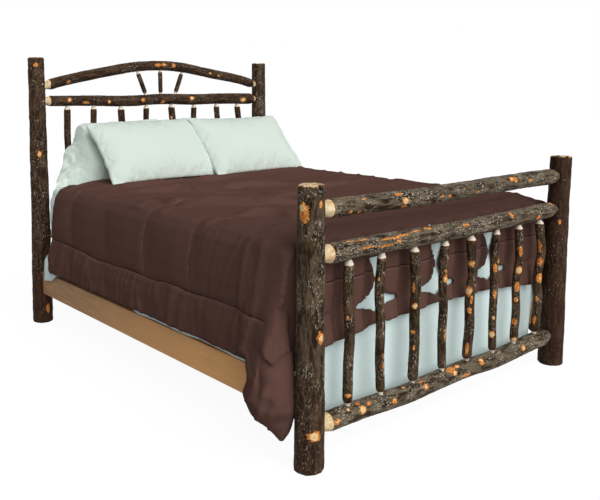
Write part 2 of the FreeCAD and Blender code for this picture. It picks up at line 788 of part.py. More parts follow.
def cover_outline(
        z, half_width, foot_y, head_y, corner, side_maker, side_puff, foot_puff, side_marks, foot_marks):
    """One level of a cover: straight across at the head, shaped along its sides and its foot."""
    left_head = Vector(-half_width, head_y, z)
    left_foot = Vector(-half_width, foot_y + corner, z)
    foot_left_end = Vector(-half_width + corner, foot_y, z)
    foot_right_end = Vector(half_width - corner, foot_y, z)
    right_foot = Vector(half_width, foot_y + corner, z)
    right_head = Vector(half_width, head_y, z)
    left_centre = Vector(-half_width + corner, foot_y + corner, z)
    right_centre = Vector(half_width - corner, foot_y + corner, z)
    back_marks = [1 - mark for mark in reversed(side_marks)]
    edges = side_maker(left_head, left_foot, side_marks, across * -1, side_puff)
    edges.append(corner_arc(left_foot, foot_left_end, left_centre, corner))
    edges += side_maker(foot_left_end, foot_right_end, foot_marks, along * -1, foot_puff)
    edges.append(corner_arc(foot_right_end, right_foot, right_centre, corner))
    edges += side_maker(right_foot, right_head, back_marks, across, side_puff)
    edges.append(Part.makeLine(right_head, left_head))
    return Part.Wire(edges)


fitted_offset = soft_gap
flat_offset = fitted_offset + linen + soft_gap
cover_offset = flat_offset + linen + soft_gap
far_x = mattress_width
far_y = mattress_length
cover_shoulder_z = mattress_top - mattress_corner


def covered_block(offset, head_y):
    """The mattress's shape grown by an offset, up to a given line at the head."""
    return rounded_block(
        mattress_half + offset, mattress_foot_y - offset, head_y,
        mattress_bottom, mattress_top + offset, mattress_corner + offset, mattress_edge + offset)


def slab(low_z, high_z, head_y):
    """All that lies between two heights, up to a line at the head."""
    return box(-far_x, far_x, -far_y, head_y, low_z, high_z)


def make_fitted_sheet():
    """A skin over the mattress's top and four sides, open underneath."""
    outer = covered_block(fitted_offset + linen, mattress_head_y + fitted_offset + linen)
    inner = covered_block(fitted_offset, mattress_head_y + fitted_offset)
    side_z = mattress_bottom + mattress_corner + mattress_edge
    opening = slab(0, side_z, far_y)
    band_outer = rounded_band(fitted_offset + linen, side_z)
    band_inner = rounded_band(fitted_offset, side_z)
    crown = outer.cut(inner).cut(opening)
    keep("fitted_sheet", crown.fuse(band_outer.cut(band_inner)))


def rounded_band(offset, high_z):
    """A plain upright block with the mattress's rounded corners."""
    block = box(
        -mattress_half - offset, mattress_half + offset, mattress_foot_y - offset, mattress_head_y + offset,
        mattress_bottom, high_z)
    return block.makeFillet(mattress_corner + offset, upright_edges(block))


make_fitted_sheet()


def sheet_drop(offset, head_y):
    """The body inside the flat sheet's hanging part, with folds that grow towards the hem."""
    drop = cover_shoulder_z - flat_sheet_foot_hem
    outlines = []
    for rise, flare, fold in sheet_level_shares:
        outlines.append(cover_outline(
            flat_sheet_foot_hem + drop * rise, mattress_half + offset + flat_sheet_side_flare * flare,
            mattress_foot_y - offset - flat_sheet_flare * flare, head_y, mattress_corner + offset,
            folded_side, flat_sheet_side_fold * fold, flat_sheet_fold * fold,
            sheet_side_shares, sheet_foot_shares))
    return Part.makeLoft(outlines, True, True)


def make_flat_sheet():
    """A thin sheet laid over the mattress, hanging low in folds behind the footboard."""
    outer = covered_block(flat_offset + linen, far_y)
    outer = outer.common(slab(cover_shoulder_z, far_y, flat_sheet_head))
    inner = covered_block(flat_offset, far_y)
    drop = sheet_drop(flat_offset + linen, flat_sheet_head).cut(sheet_drop(flat_offset, mattress_head_y))
    side_trim = box(
        -far_x, far_x, mattress_foot_y + flat_sheet_corner_trim, far_y, flat_sheet_foot_hem - cut_overrun,
        flat_sheet_side_hem)
    keep("flat_sheet", outer.cut(inner).fuse(drop).cut(side_trim))


make_flat_sheet()


# Comforter
def channel_places(first, low, high):
    """Where the sewn channels lie between two ends, none too near to either."""
    margin = channel_spacing / 4
    count = int((high - first) / channel_spacing) + 1
    places = [first + channel_spacing * index for index in range(count)]
    return [place for place in places if low + margin < place < high - margin]


def comforter_shell():
    """The puffed outer form, lofted through its levels."""
    foot_end_y = comforter_corner - comforter_foot
    side_places = channel_places(channel_first_y, foot_end_y, comforter_head)
    side_run = comforter_head - foot_end_y
    side_marks = [0] + [(comforter_head - place) / side_run for place in reversed(side_places)] + [1]
    foot_end_x = comforter_half_width - comforter_corner
    foot_places = channel_places(channel_first_x, -foot_end_x, foot_end_x)
    foot_marks = [0] + [(place + foot_end_x) / (2 * foot_end_x) for place in foot_places] + [1]
    outlines = []
    for rise, draw_in, puff in comforter_level_shares:
        outlines.append(cover_outline(
            comforter_hem + (comforter_top - comforter_hem) * rise,
            comforter_half_width - comforter_shoulder * draw_in,
            -comforter_foot + comforter_foot_shoulder * draw_in, comforter_head, comforter_corner,
            bulged_side, comforter_puff * puff, comforter_puff * puff, side_marks, foot_marks))
    return Part.makeLoft(outlines, True, True)


def comforter_hollow():
    """The space under the comforter: narrow over the mattress and wider at the hem."""
    low_half = comforter_half_width - comforter_side_thickness
    high_half = mattress_half + cover_offset + cover_room
    foot_y = mattress_foot_y - cover_offset - cover_room
    head_y = comforter_head + cut_overrun
    plain = (0, 1)
    outlines = []
    for z, half_width in ((comforter_hem - cut_overrun, low_half), (cover_shoulder_z, high_half)):
        outlines.append(cover_outline(
            z, half_width, foot_y, head_y, mattress_corner + cover_offset,
            bulged_side, cover_room / 4, cover_room / 4, plain, plain))
    return Part.makeLoft(outlines, True, True)


def channel_cutters():
    """Round bars that press the sewn channels into the comforter's top."""
    bars = []
    bar_z = comforter_top + channel_radius - channel_depth
    for x in channel_places(channel_first_x - channel_spacing, -comforter_half_width, comforter_half_width):
        bars.append(Part.makeCylinder(channel_radius, 2 * far_y, Vector(x, -far_y, bar_z), along))
    for y in channel_places(channel_first_y, -comforter_foot, comforter_head):
        bars.append(Part.makeCylinder(channel_radius, 2 * far_x, Vector(-far_x, y, bar_z), across))
    return bars


def flap_hem_cutter():
    """Everything under the foot flap's hem, which rises a little to the middle."""
    low = comforter_hem - cut_overrun
    left = Vector(-comforter_flap_half_width, -far_y, comforter_flap_hem)
    right = Vector(comforter_flap_half_width, -far_y, comforter_flap_hem)
    crest = Vector(0, -far_y, comforter_flap_hem + comforter_flap_rise)
    low_left = Vector(-comforter_flap_half_width, -far_y, low)
    low_right = Vector(comforter_flap_half_width, -far_y, low)
    edges = [
        Part.makeLine(low_left, left),
        Part.Arc(left, crest, right).toShape(),
        Part.makeLine(right, low_right),
        Part.makeLine(low_right, low_left),
    ]
    return Part.Face(Part.Wire(edges)).extrude(along * (far_y + mattress_foot_y + mattress_corner))


def corner_fold(side):
    """The loose corner of the comforter, hanging as a cone outside the side rail."""
    width = corner_fold_outer_x - corner_fold_inner_x
    length = corner_fold_foot_y - corner_fold_head_y
    rings = []
    for rise, inner, outer, head, foot in corner_fold_shares:
        z = corner_fold_tip + (corner_fold_top - corner_fold_tip) * rise
        centre_x = side * (corner_fold_inner_x + width * (inner + outer) / 2)
        centre_y = corner_fold_head_y + length * (head + foot) / 2
        half_width = width * (outer - inner) / 2
        half_length = length * (head - foot) / 2
        rings.append(oval_ring(Vector(centre_x, centre_y, z), half_width, half_length))
    return Part.makeLoft(rings, True, True)


def oval_ring(centre, half_x_size, half_y_size):
    """A level oval of four arcs."""
    tips = ((1, 0), (0, 1), (-1, 0), (0, -1), (1, 0))
    edges = []
    for (first_x, first_y), (second_x, second_y) in zip(tips, tips[1:]):
        middle_x = (first_x + second_x) * diagonal
        middle_y = (first_y + second_y) * diagonal
        points = []
        for step_x, step_y in ((first_x, first_y), (middle_x, middle_y), (second_x, second_y)):
            points.append(centre + Vector(step_x * half_x_size, step_y * half_y_size, 0))
        edges.append(Part.Arc(*points).toShape())
    return Part.Wire(edges)


def make_comforter():
    solid = comforter_shell().cut(comforter_hollow())
    solid = solid.cut(covered_block(cover_offset, far_y))
    for bar in channel_cutters():
        solid = solid.cut(bar)
    solid = solid.cut(flap_hem_cutter())
    keep("comforter", solid.fuse([corner_fold(-1), corner_fold(1)]))


make_comforter()


# Pillows
def pillow_ring(offset, half_width, half_height, draw_in, corner):
    """One upright section of a pillow: four drawn-in sides and four rounded corners."""
    left = -half_width
    right = half_width
    low = -half_height
    high = half_height
    near = corner * (1 - diagonal)
    points = [
        (left + corner, low), (0, low + draw_in), (right - corner, low), (right - near, low + near),
        (right, low + corner), (right - draw_in, 0), (right, high - corner), (right - near, high - near),
        (right - corner, high), (0, high - draw_in), (left + corner, high), (left + near, high - near),
        (left, high - corner), (left + draw_in, 0), (left, low + corner), (left + near, low + near),
        (left + corner, low),
    ]
    places = [Vector(x, offset, z) for x, z in points]
    edges = []
    for index in range(0, len(places) - 1, 2):
        edges.append(Part.Arc(places[index], places[index + 1], places[index + 2]).toShape())
    return Part.Wire(edges)


def pillow_solid(width, height, thickness):
    """A knife-edged pillow standing upright, fullest at its middle."""
    halves = []
    for side in (-1, 1):
        rings = []
        for index in range(pillow_rings):
            turn = math.radians(pillow_last_turn * index / (pillow_rings - 1))
            size = math.cos(turn) ** pillow_fullness_share
            draw_in = pillow_draw_in * (1 - pillow_side_fall_share * math.sin(turn))
            rounding = (pillow_crown_corner_share - pillow_seam_corner_share) * (1 - math.cos(turn))
            corner = (pillow_seam_corner_share + rounding) * size * height
            offset = side * math.sin(turn) * thickness / 2
            rings.append(pillow_ring(offset, size * width / 2, size * height / 2, draw_in, corner))
        halves.append(Part.makeLoft(rings, True, False))
    return halves[0].fuse(halves[1])


def lean_back(solid, lean, place):
    """Tip a standing pillow's top towards the head and set its middle in place."""
    solid.Placement = FreeCAD.Placement(place, FreeCAD.Rotation(across, -lean))
    return solid


def pressing_plane(y_shift, side):
    """All that lies in front (-1) or behind (1) of the leaning plane where pillows press together."""
    size = 2 * far_y
    block = Part.makeBox(size, size, size, Vector(-size / 2, 0, -size / 2))
    if side < 0:
        block = Part.makeBox(size, size, size, Vector(-size / 2, -size, -size / 2))
    place = Vector(0, pillow_contact_y + y_shift, pillow_contact_z)
    block.Placement = FreeCAD.Placement(place, FreeCAD.Rotation(across, -pillow_contact_lean))
    return block


def make_pillow(name, size, lean, place, rests):
    """A pillow, flattened by everything that it rests on and leans on."""
    solid = lean_back(pillow_solid(*size), lean, place)
    for rest in rests:
        solid = solid.cut(rest)
    keep(name, solid)


def make_pillows():
    front_size = (front_pillow_width, front_pillow_height, front_pillow_thickness)
    back_size = (back_pillow_width, back_pillow_height, back_pillow_thickness)
    cover_top = slab(0, comforter_top + pillow_gap, comforter_head + pillow_gap)
    sheet_top = slab(0, mattress_top + flat_offset + linen + pillow_gap, far_y)
    headboard = box(-far_x, far_x, half_y - spindle_diameter, far_y, 0, head_post_height)
    behind = pressing_plane(-pillow_gap / 2, 1)
    before = pressing_plane(pillow_gap / 2, -1)
    for name, x, forward in (
            ("pillow_front_left", front_left_pillow_x, 0),
            ("pillow_front_right", front_right_pillow_x, front_right_pillow_forward)):
        place = Vector(x, front_pillow_y - forward, front_pillow_z)
        make_pillow(name, front_size, front_pillow_lean, place, (cover_top, behind))
    for name, x in (("pillow_back_left", back_left_pillow_x), ("pillow_back_right", back_right_pillow_x)):
        place = Vector(x, back_pillow_y, back_pillow_z)
        make_pillow(name, back_size, back_pillow_lean, place, (cover_top, sheet_top, headboard, before))


make_pillows()


# Cut the mortises, pockets and holes, and write one file per node
def finished(name):
    solids = []
    tools = cuts.get(name, [])
    for solid in pieces[name]:
        for tool in tools:
            if tool.BoundBox.intersect(solid.BoundBox):
                solid = solid.cut(tool)
        solids.append(solid)
    if len(solids) == 1:
        return solids[0]
    return Part.makeCompound(solids)


os.makedirs("parts", exist_ok=True)
for node_name in pieces:
    shape = finished(node_name)
    shape.exportStep("parts/" + node_name + ".step")
    print(node_name, len(shape.Solids), shape.isValid())
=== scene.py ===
import math

import bmesh
import bpy
import numpy as np
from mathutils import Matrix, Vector
from mathutils.bvhtree import BVHTree


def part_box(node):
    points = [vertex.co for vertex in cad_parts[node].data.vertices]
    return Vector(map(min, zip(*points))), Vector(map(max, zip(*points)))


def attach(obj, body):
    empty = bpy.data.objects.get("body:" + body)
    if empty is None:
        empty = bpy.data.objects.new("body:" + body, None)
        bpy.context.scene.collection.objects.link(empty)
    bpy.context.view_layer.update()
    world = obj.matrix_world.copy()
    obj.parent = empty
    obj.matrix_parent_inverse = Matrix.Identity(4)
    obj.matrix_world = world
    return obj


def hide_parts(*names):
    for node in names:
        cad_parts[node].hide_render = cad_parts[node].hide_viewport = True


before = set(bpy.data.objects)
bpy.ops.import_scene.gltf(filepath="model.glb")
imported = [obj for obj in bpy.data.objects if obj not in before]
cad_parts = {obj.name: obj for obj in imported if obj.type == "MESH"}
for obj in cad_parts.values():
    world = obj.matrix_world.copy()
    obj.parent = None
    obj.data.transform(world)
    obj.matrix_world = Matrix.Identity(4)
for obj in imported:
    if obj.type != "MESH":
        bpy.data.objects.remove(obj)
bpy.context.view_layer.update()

# The studio: a pale floor, even light from all round, and one broad soft lamp high beyond the footboard.
# The camera stands off the bed's left foot corner, a little above the mattress, and looks slightly down.
picture_width = 600
picture_height = 500
lens_pixels = 747
sight_x, sight_y = 265, 205
eye_place = Vector((-2.449, -2.843, 1.303))
turn_to_right = math.radians(39.87)
tip_down = math.radians(8.94)
floor_half = 30.0
floor_paint = (170, 170, 170)
floor_share = 0.75
floor_glow = 1.25
room_light = 0.20
lamp_light = 2.9
lamp_width = math.radians(70)
lamp_way = Vector((-0.08, -0.82, 0.60))


def put_in(name, data):
    """A new object of the scene, at its origin."""
    made = bpy.data.objects.new(name, data)
    bpy.context.collection.objects.link(made)
    return made


def shaped(name, work):
    """The worked mesh as a new object of the scene."""
    mesh = bpy.data.meshes.new(name)
    work.to_mesh(mesh)
    work.free()
    return put_in(name, mesh)


camera = put_in("camera", bpy.data.cameras.new("camera"))
camera.location = eye_place
camera.rotation_euler = (math.pi / 2 - tip_down, 0, -turn_to_right)
camera.data.lens = camera.data.sensor_width * lens_pixels / picture_width
camera.data.shift_x = (picture_width / 2 - sight_x) / picture_width
camera.data.shift_y = (sight_y - picture_height / 2) / picture_width
bpy.context.scene.camera = camera

lamp = put_in("lamp", bpy.data.lights.new("lamp", "SUN"))
lamp.data.energy = lamp_light
lamp.data.angle = lamp_width
lamp.rotation_euler = lamp_way.to_track_quat("Z", "Y").to_euler()

bpy.context.scene.view_settings.view_transform = "Standard"


def paint(red, green, blue):
    """A colour given as it looks on a screen, 0 to 255, in the form that a shader takes."""
    shares = [part / 255 for part in (red, green, blue)]
    return [s / 12.92 if s <= 0.04045 else ((s + 0.055) / 1.055) ** 2.4 for s in shares] + [1.0]


class Finish:
    """One procedural material, or the light of the room, built node by node."""

    def __init__(self, name, room=None):
        self.material = room or bpy.data.materials.new(name)
        self.material.use_nodes = True
        self.tree = self.material.node_tree
        self.shader = self.tree.nodes.get("Principled BSDF")

    def feed(self, socket, value):
        if isinstance(value, bpy.types.NodeSocket):
            self.tree.links.new(value, socket)
        else:
            socket.default_value = value

    def node(self, kind, *inputs, out=0, **settings):
        made = self.tree.nodes.new("ShaderNode" + kind)
        for name, value in settings.items():
            setattr(made, name, value)
        for socket, value in inputs:
            self.feed(made.inputs[socket], value)
        return made.outputs[out]

    def place(self, stretch=(1, 1, 1), attribute=None):
        """Coordinates in metres, stretched, from the piece itself or from a named attribute of its points."""
        if attribute:
            source = self.node("Attribute", attribute_name=attribute, out="Vector")
        else:
            source = self.node("TexCoord", out="Object")
        return self.node("Mapping", ("Vector", source), ("Scale", stretch))

    def mark(self, name):
        """A named value that the piece's points carry."""
        return self.node("Attribute", attribute_name=name, out="Fac")

    def noise(self, where, scale, detail=4.0, roughness=0.55):
        return self.node("TexNoise", ("Vector", where), ("Scale", scale), ("Detail", detail),
                         ("Roughness", roughness))

    def step(self, value, low, high):
        """0 below low, 1 above high, and smooth between."""
        return self.node("MapRange", ("Value", value), ("From Min", low), ("From Max", high),
                         interpolation_type="SMOOTHSTEP")

    def sums(self, operation, first, second=0.0):
        return self.node("Math", (0, first), (1, second), operation=operation)

    def mix(self, share, *colours):
        """Goes from the first colour to the second. Each is a socket, or as it looks on a screen."""
        first, second = [paint(*colour) if isinstance(colour, tuple) else colour for colour in colours]
        return self.node("Mix", (0, share), (6, first), (7, second), data_type="RGBA", out=2)

    def bump(self, height, strength, depth):
        normal = self.node("Bump", ("Height", height), ("Strength", strength), ("Distance", depth))
        self.feed(self.shader.inputs["Normal"], normal)

    def give(self, **inputs):
        for name, value in inputs.items():
            self.feed(self.shader.inputs[name.replace("_", " ")], value)


def white_to_the_eye(finish, lit, out_socket, share, white):
    """Shows plain white to the camera and in reflections, and leaves the light on the bed as it is."""
    rays = finish.tree.nodes.new("ShaderNodeLightPath").outputs
    seen = finish.sums("MAXIMUM", rays["Is Camera Ray"], rays["Is Glossy Ray"])
    seen = finish.sums("MAXIMUM", seen, rays["Is Transmission Ray"])
    shown = finish.node("MixShader", (0, finish.sums("MULTIPLY", seen, share)), (1, lit), (2, white))
    finish.feed(out_socket, shown)


world = bpy.data.worlds.new("studio")
bpy.context.scene.world = world
room = Finish("studio", world)
room_glow = room.tree.nodes["Background"]
room_glow.inputs["Color"].default_value = paint(252, 252, 255)
room_glow.inputs["Strength"].default_value = room_light
white_to_the_eye(room, room_glow.outputs[0], room.tree.nodes["World Output"].inputs[0], 1.0,
                 room.node("Background", ("Color", (1, 1, 1, 1))))

work = bmesh.new()
bmesh.ops.create_grid(work, x_segments=1, y_segments=1, size=floor_half)
floor = shaped("floor", work)
floor_finish = Finish("pale_floor")
floor_finish.give(Base_Color=paint(*floor_paint), Roughness=0.9)
white_to_the_eye(floor_finish, floor_finish.shader.outputs[0],
                 floor_finish.tree.nodes["Material Output"].inputs[0], floor_share,
                 floor_finish.node("Emission", ("Strength", floor_glow)))
floor.data.materials.append(floor_finish.material)

# The four posts: straight hickory logs with the bark on, thickest at the floor, sawn flat at both ends.
# Branch stubs are sawn off flush, and show as cream discs in a ring of orange inner bark.
post_grid = 0.0037
post_furrow = (0.011, 0.0026)
heart_slice = 0.012
knot_dent = 0.0008
knot_swell = 0.32
low_post_darkening = (0.08, 0.42)


def merged_copy(node):
    """The node's own shape as a new piece, with the loose triangles joined."""
    work = bmesh.new()
    work.from_mesh(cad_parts[node].data)
    bmesh.ops.remove_doubles(work, verts=work.verts, dist=1e-6)
    return shaped(node + "_finished", work)


def with_modifiers_applied(piece):
    """Makes the shape that the modifiers give the piece's own mesh."""
    made = bpy.data.meshes.new_from_object(piece.evaluated_get(bpy.context.evaluated_depsgraph_get()))
    piece.modifiers.clear()
    piece.data = made


def even_grid(piece, size):
    """Covers the piece with an even net of small faces, which noise and folds can shape."""
    net = piece.modifiers.new("net", "REMESH")
    net.mode = "VOXEL"
    net.voxel_size = size
    with_modifiers_applied(piece)
    return piece


def dressed(piece, node, finish):
    """Makes a finished piece smooth, in its material, and puts it in the place of its part, if it has one."""
    piece.data.shade_smooth()
    piece.data.materials.append(finish.material)
    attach(piece, "root")
    if node:
        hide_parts(node)
    return piece


def read_points(piece):
    """The piece's points, and the directions in which they face."""
    places, outward = np.empty((2, len(piece.data.vertices) * 3))
    piece.data.vertices.foreach_get("co", places)
    piece.data.vertex_normals.foreach_get("vector", outward)
    return places.reshape(-1, 3), outward.reshape(-1, 3)


def write_points(piece, places):
    """Moves the piece's points to the places."""
    piece.data.vertices.foreach_set("co", places.ravel())
    piece.data.update()


def write_attribute(piece, name, values):
    """Gives each point of the piece a number or a place, which its material reads by name."""
    kind, field = ("FLOAT", "value") if values.ndim == 1 else ("FLOAT_VECTOR", "vector")
    piece.data.attributes.new(name, kind, "POINT").data.foreach_set(field, values.ravel())


def smooth_noise(*parts, seed):
    """Noise from -1 to 1 that changes smoothly over one unit. The parts are the places' coordinates."""
    rows = len(parts[0])
    places = np.column_stack([part if np.ndim(part) else np.full(rows, part) for part in parts])
    cell = np.floor(places).astype(np.int64)
    inside = places - cell
    ease = inside * inside * (3 - 2 * inside)
    total = np.zeros(rows)
    for corner in np.ndindex(2, 2, 2):
        code = ((cell + corner) * (73856093, 19349663, 83492791)).sum(1) + seed * 40503
        code = (code ^ (code >> 15)) * 668265263 & 0xFFFFFFFF
        code = (code ^ (code >> 13)) * 374761393 & 0xFFFFFFFF
        total += np.where(corner, ease, 1 - ease).prod(1) * ((code >> 9 & 0xFFFF) / 32767.5 - 1)
    return total


def ease_step(value, low, high):
    """0 below low, 1 above high, and smooth between."""
    share = np.clip((value - low) / (high - low), 0, 1)
    return share * share * (3 - 2 * share)


class LogLines:
    """Where each point of a log lies: how far along it, how far out from its heart, and at what angle."""

    def __init__(self, places, axis):
        axis = Vector(axis).normalized()
        side = Vector((0, 1, 0)) if abs(axis.x) > 0.5 else Vector((1, 0, 0))
        side = (side - axis * side.dot(axis)).normalized()
        axis, side, over = np.array(axis), np.array(side), np.array(axis.cross(side))
        self.along = places @ axis
        low, high = self.along.min(), self.along.max()
        steps = np.arange(low, high + heart_slice, heart_slice)
        slot = np.clip(np.searchsorted(steps, self.along) - 1, 0, len(steps) - 2)
        weight = np.ones(len(places))
        for _ in range(2):
            counts = np.maximum(np.bincount(slot, weight, len(steps) - 1), 1e-6)
            middles = np.stack([np.bincount(slot, places[:, k] * weight, len(steps) - 1) / counts
                                for k in range(3)], 1)
            middles[0], middles[-1] = middles[1], middles[-2]
            heart = np.stack([np.interp(self.along, (steps[1:] + steps[:-1]) / 2, middles[:, k])
                              for k in range(3)], 1)
            reach = np.linalg.norm(places - heart, axis=1)
            weight = (reach > 0.75 * np.median(reach)).astype(float)
        out = places - heart
        from_eye = heart.mean(0) - np.array(eye_place)
        self.far_side = math.degrees(math.atan2(from_eye @ over, from_eye @ side))
        self.across = np.stack([out @ side, out @ over], 1)
        self.radius = np.hypot(self.across[:, 0], self.across[:, 1])
        self.angle = np.arctan2(self.across[:, 1], self.across[:, 0])
        widest = np.zeros(len(steps) - 1)
        np.maximum.at(widest, slot, self.radius)
        self.usual_radius = float(np.median(widest))
        self.span = (low, high)
        self.axis = axis


def bark_height(lines, furrow, seed):
    """Furrows that run along the log and meet at sharp angles, over broad low lumps."""
    width, depth = furrow
    around = lines.across / np.maximum(lines.radius, 1e-6)[:, None] * lines.usual_radius
    spot = np.column_stack([around / width, lines.along / (4.2 * width) + 31 * seed])
    sway = smooth_noise(around / 0.05, lines.along / 0.07, seed=seed + 5)
    spot[:, :2] += 0.9 * sway[:, None]
    ridge = 1 - 2 * np.abs(smooth_noise(spot, seed=seed))
    fine = smooth_noise(spot * (2.3, 2.3, 2.6), seed=seed + 1)
    lumps = smooth_noise(around / 0.045, lines.along / 0.08, seed=seed + 2)
    return depth * (0.55 * ridge + 0.30 * fine) + 0.6 * depth * lumps


def mark_fields(lines, marks):
    """How near each point lies to a knot or a peeled streak (1 at its middle, 0 at its rim), how near to a
    sawn branch heart, and how far the knots swell the log."""
    swell = np.zeros(len(lines.along))
    near = heart = swell - 1
    for along, degrees, long_half, wide_half, sawn in marks:
        turn = (lines.angle - math.radians(degrees) + math.pi) % (2 * math.pi) - math.pi
        arc = turn * np.maximum(lines.radius, 0.6 * lines.usual_radius)
        away = lines.along - along
        share = 1 - np.hypot(away / long_half, arc / wide_half)
        near = np.maximum(near, share)
        if sawn:
            heart = np.maximum(heart, 1 - np.hypot(away, arc) / sawn)
            swell += knot_swell * sawn * ease_step(share, 0, 0.55)
        else:
            swell -= knot_dent * ease_step(share, 0, 0.3)
    return near, heart, swell


def sight_line(x, y):
    """The direction in which the eye looks through a pixel of the picture."""
    return camera.rotation_euler.to_matrix() @ Vector((x - sight_x, sight_y - y, -lens_pixels)).normalized()


def seen_marks(lines, places, outward, spots):
    """Marks placed by the eye: each spot is a pixel of the picture, its half length along the log, its half
    width round it and, where there is one, the half width of its sawn heart, all in pixels."""
    marks = []
    from_eye = places - np.array(eye_place)
    for x, y, long_half, wide_half, *heart in spots:
        line = np.array(sight_line(x, y))
        depth = from_eye @ line
        miss = np.linalg.norm(from_eye - depth[:, None] * line, axis=1)
        facing = outward @ line < -0.1
        spot = np.argmin(miss + 0.02 * depth + np.where(facing, 0, 1))
        size = depth[spot] / lens_pixels
        slant = np.linalg.norm(np.cross(lines.axis, line))
        marks.append((lines.along[spot], math.degrees(lines.angle[spot]), long_half * size / slant,
                      wide_half * size, sum(heart) * size))
    return marks


def grown_marks(lines, count, seed):
    """Knots on the far side of a log, of sizes and places that a seeded draw gives."""
    draw = np.random.default_rng(seed)
    low, high = lines.span
    margin = 0.14 * (high - low)
    marks = []
    for _ in range(count):
        wide = lines.usual_radius * draw.uniform(0.18, 0.42)
        sawn = wide * draw.uniform(0.35, 0.6) if draw.random() < 0.55 else 0
        marks.append((draw.uniform(low + margin, high - margin), lines.far_side + draw.uniform(-85, 85),
                      wide * draw.uniform(1.0, 1.4 if sawn else 2.4), wide, sawn))
    return marks


def barked_log(node, axis, grid, furrow, shaved, spots, grown, seed, chips=(0.0012, 0.0012), tone=0.0):
    """Dresses one log: bark over its length, shaved ends as long as said, and its knots. The tone runs from
    -1, smooth dark red bark, to 1, rough grey bark."""
    piece = even_grid(merged_copy(node), grid)
    places, outward = read_points(piece)
    lines = LogLines(places, axis)
    low, high = lines.span
    ragged = smooth_noise(lines.across / 0.012, lines.along / 0.3, seed=seed + 8)
    cut = np.maximum(shaved[0] + chips[0] * ragged - (lines.along - low),
                     shaved[1] + chips[1] * ragged - (high - lines.along))
    marks = seen_marks(lines, places, outward, spots) + grown_marks(lines, grown, seed)
    near, heart, swell = mark_fields(lines, marks)
    on_bark = ease_step(-cut, 0.0, 0.004)
    rough = bark_height(lines, furrow, seed) * on_bark * (1 - 0.8 * ease_step(near, 0.1, 0.5))
    write_points(piece, places + outward * (rough + swell * on_bark)[:, None])
    # The posts' bark turns darker and redder towards the floor: its tone is lowered near the foot of each
    # post.
    darker_low = 0.9 * (1 - ease_step(lines.along, *low_post_darkening)) * ("post" in node)
    marked = {"grain": np.column_stack([lines.across, lines.along + 3 * (seed % 7)]),
              "paler_wood": np.full(len(places), 0.8 if "spindle" in node else 0.0),
              "tone": np.maximum(tone - darker_low, -1), "cut": cut, "knot": near, "heart": heart}
    for name, values in marked.items():
        write_attribute(piece, name, values)
    return dressed(piece, node, bark_finish)


bark_finish = Finish("hickory_bark")


def build_bark(finish):
    """Charcoal bark with grey flecks, orange inner bark at knots and torn edges, cream sawn wood."""
    noise, step, mix, sums, mark = finish.noise, finish.step, finish.mix, finish.sums, finish.mark
    grain = finish.place(attribute="grain")
    long_grain = finish.place((1, 1, 0.22), "grain")
    tones = noise(long_grain, 60, 5, 0.6)
    ridges = noise(long_grain, 190, 4, 0.65)
    blotch = noise(grain, 22, 4, 0.6)
    bark = mix(step(tones, 0.36, 0.66), (40, 29, 21), (92, 72, 54))
    bark = mix(step(blotch, 0.52, 0.70), bark, (72, 60, 38))
    bark = mix(step(ridges, 0.48, 0.36), bark, (26, 18, 13))
    dark_red = step(mark("tone"), 0.0, -1.0)
    rough_grey = step(mark("tone"), 0.0, 1.0)
    bark = mix(sums("MULTIPLY", dark_red, 0.6), bark, (58, 36, 29))
    bark = mix(sums("MULTIPLY", rough_grey, step(tones, 0.40, 0.62)), bark, (106, 96, 80))
    flecks = noise(finish.place((1, 1, 0.45), "grain"), 210, 3, 0.6)
    mottled = sums("ADD", flecks, sums("MULTIPLY", mark("tone"), 0.035))
    mottled = sums("SUBTRACT", mottled, sums("MULTIPLY", dark_red, 0.035))
    patches = step(noise(grain, 13, 3, 0.5), 0.40, 0.58)
    lichen = sums("MULTIPLY", step(mottled, 0.56, 0.65), patches)
    bark = mix(lichen, bark, (166, 156, 138))
    torn = sums("SUBTRACT", noise(grain, 120, 3, 0.6), 0.5)
    edge = sums("ADD", mark("knot"), sums("MULTIPLY", torn, 1.1))
    fibres = noise(grain, 160, 4, 0.6)
    inner = mix(step(fibres, 0.36, 0.56), (150, 78, 34), (224, 144, 68))
    inner = mix(step(fibres, 0.56, 0.68), inner, (248, 212, 156))
    colour = mix(step(edge, 0.18, 0.30), bark, inner)
    ragged = sums("ADD", mark("cut"), sums("MULTIPLY", torn, 0.006))
    colour = mix(step(ragged, -0.0024, -0.0014), colour, (172, 104, 52))
    rings = noise(finish.place((1, 1, 0.05), "grain"), 95, 3, 0.5)
    wood = mix(step(rings, 0.35, 0.68), (236, 218, 178), (206, 172, 122))
    # The spindles' cut ends are a whiter wood than the rails' ends.
    wood = mix(mark("paler_wood"), wood, (240, 232, 216))
    colour = mix(step(ragged, -0.0006, 0.0006), colour, wood)
    sawn = mix(step(noise(grain, 300, 2, 0.5), 0.4, 0.6), (242, 214, 164), (222, 178, 118))
    sawn = mix(step(mark("heart"), 0.80, 0.92), sawn, (120, 66, 34))
    colour = mix(step(mark("heart"), 0.0, 0.12), colour, sawn)
    finish.give(Base_Color=colour, Roughness=0.62, Specular_IOR_Level=0.05)
    height = sums("ADD", ridges, sums("MULTIPLY", flecks, 0.6))
    finish.bump(sums("MULTIPLY", height, step(ragged, 0.0, -0.002)), 0.55, 0.0025)


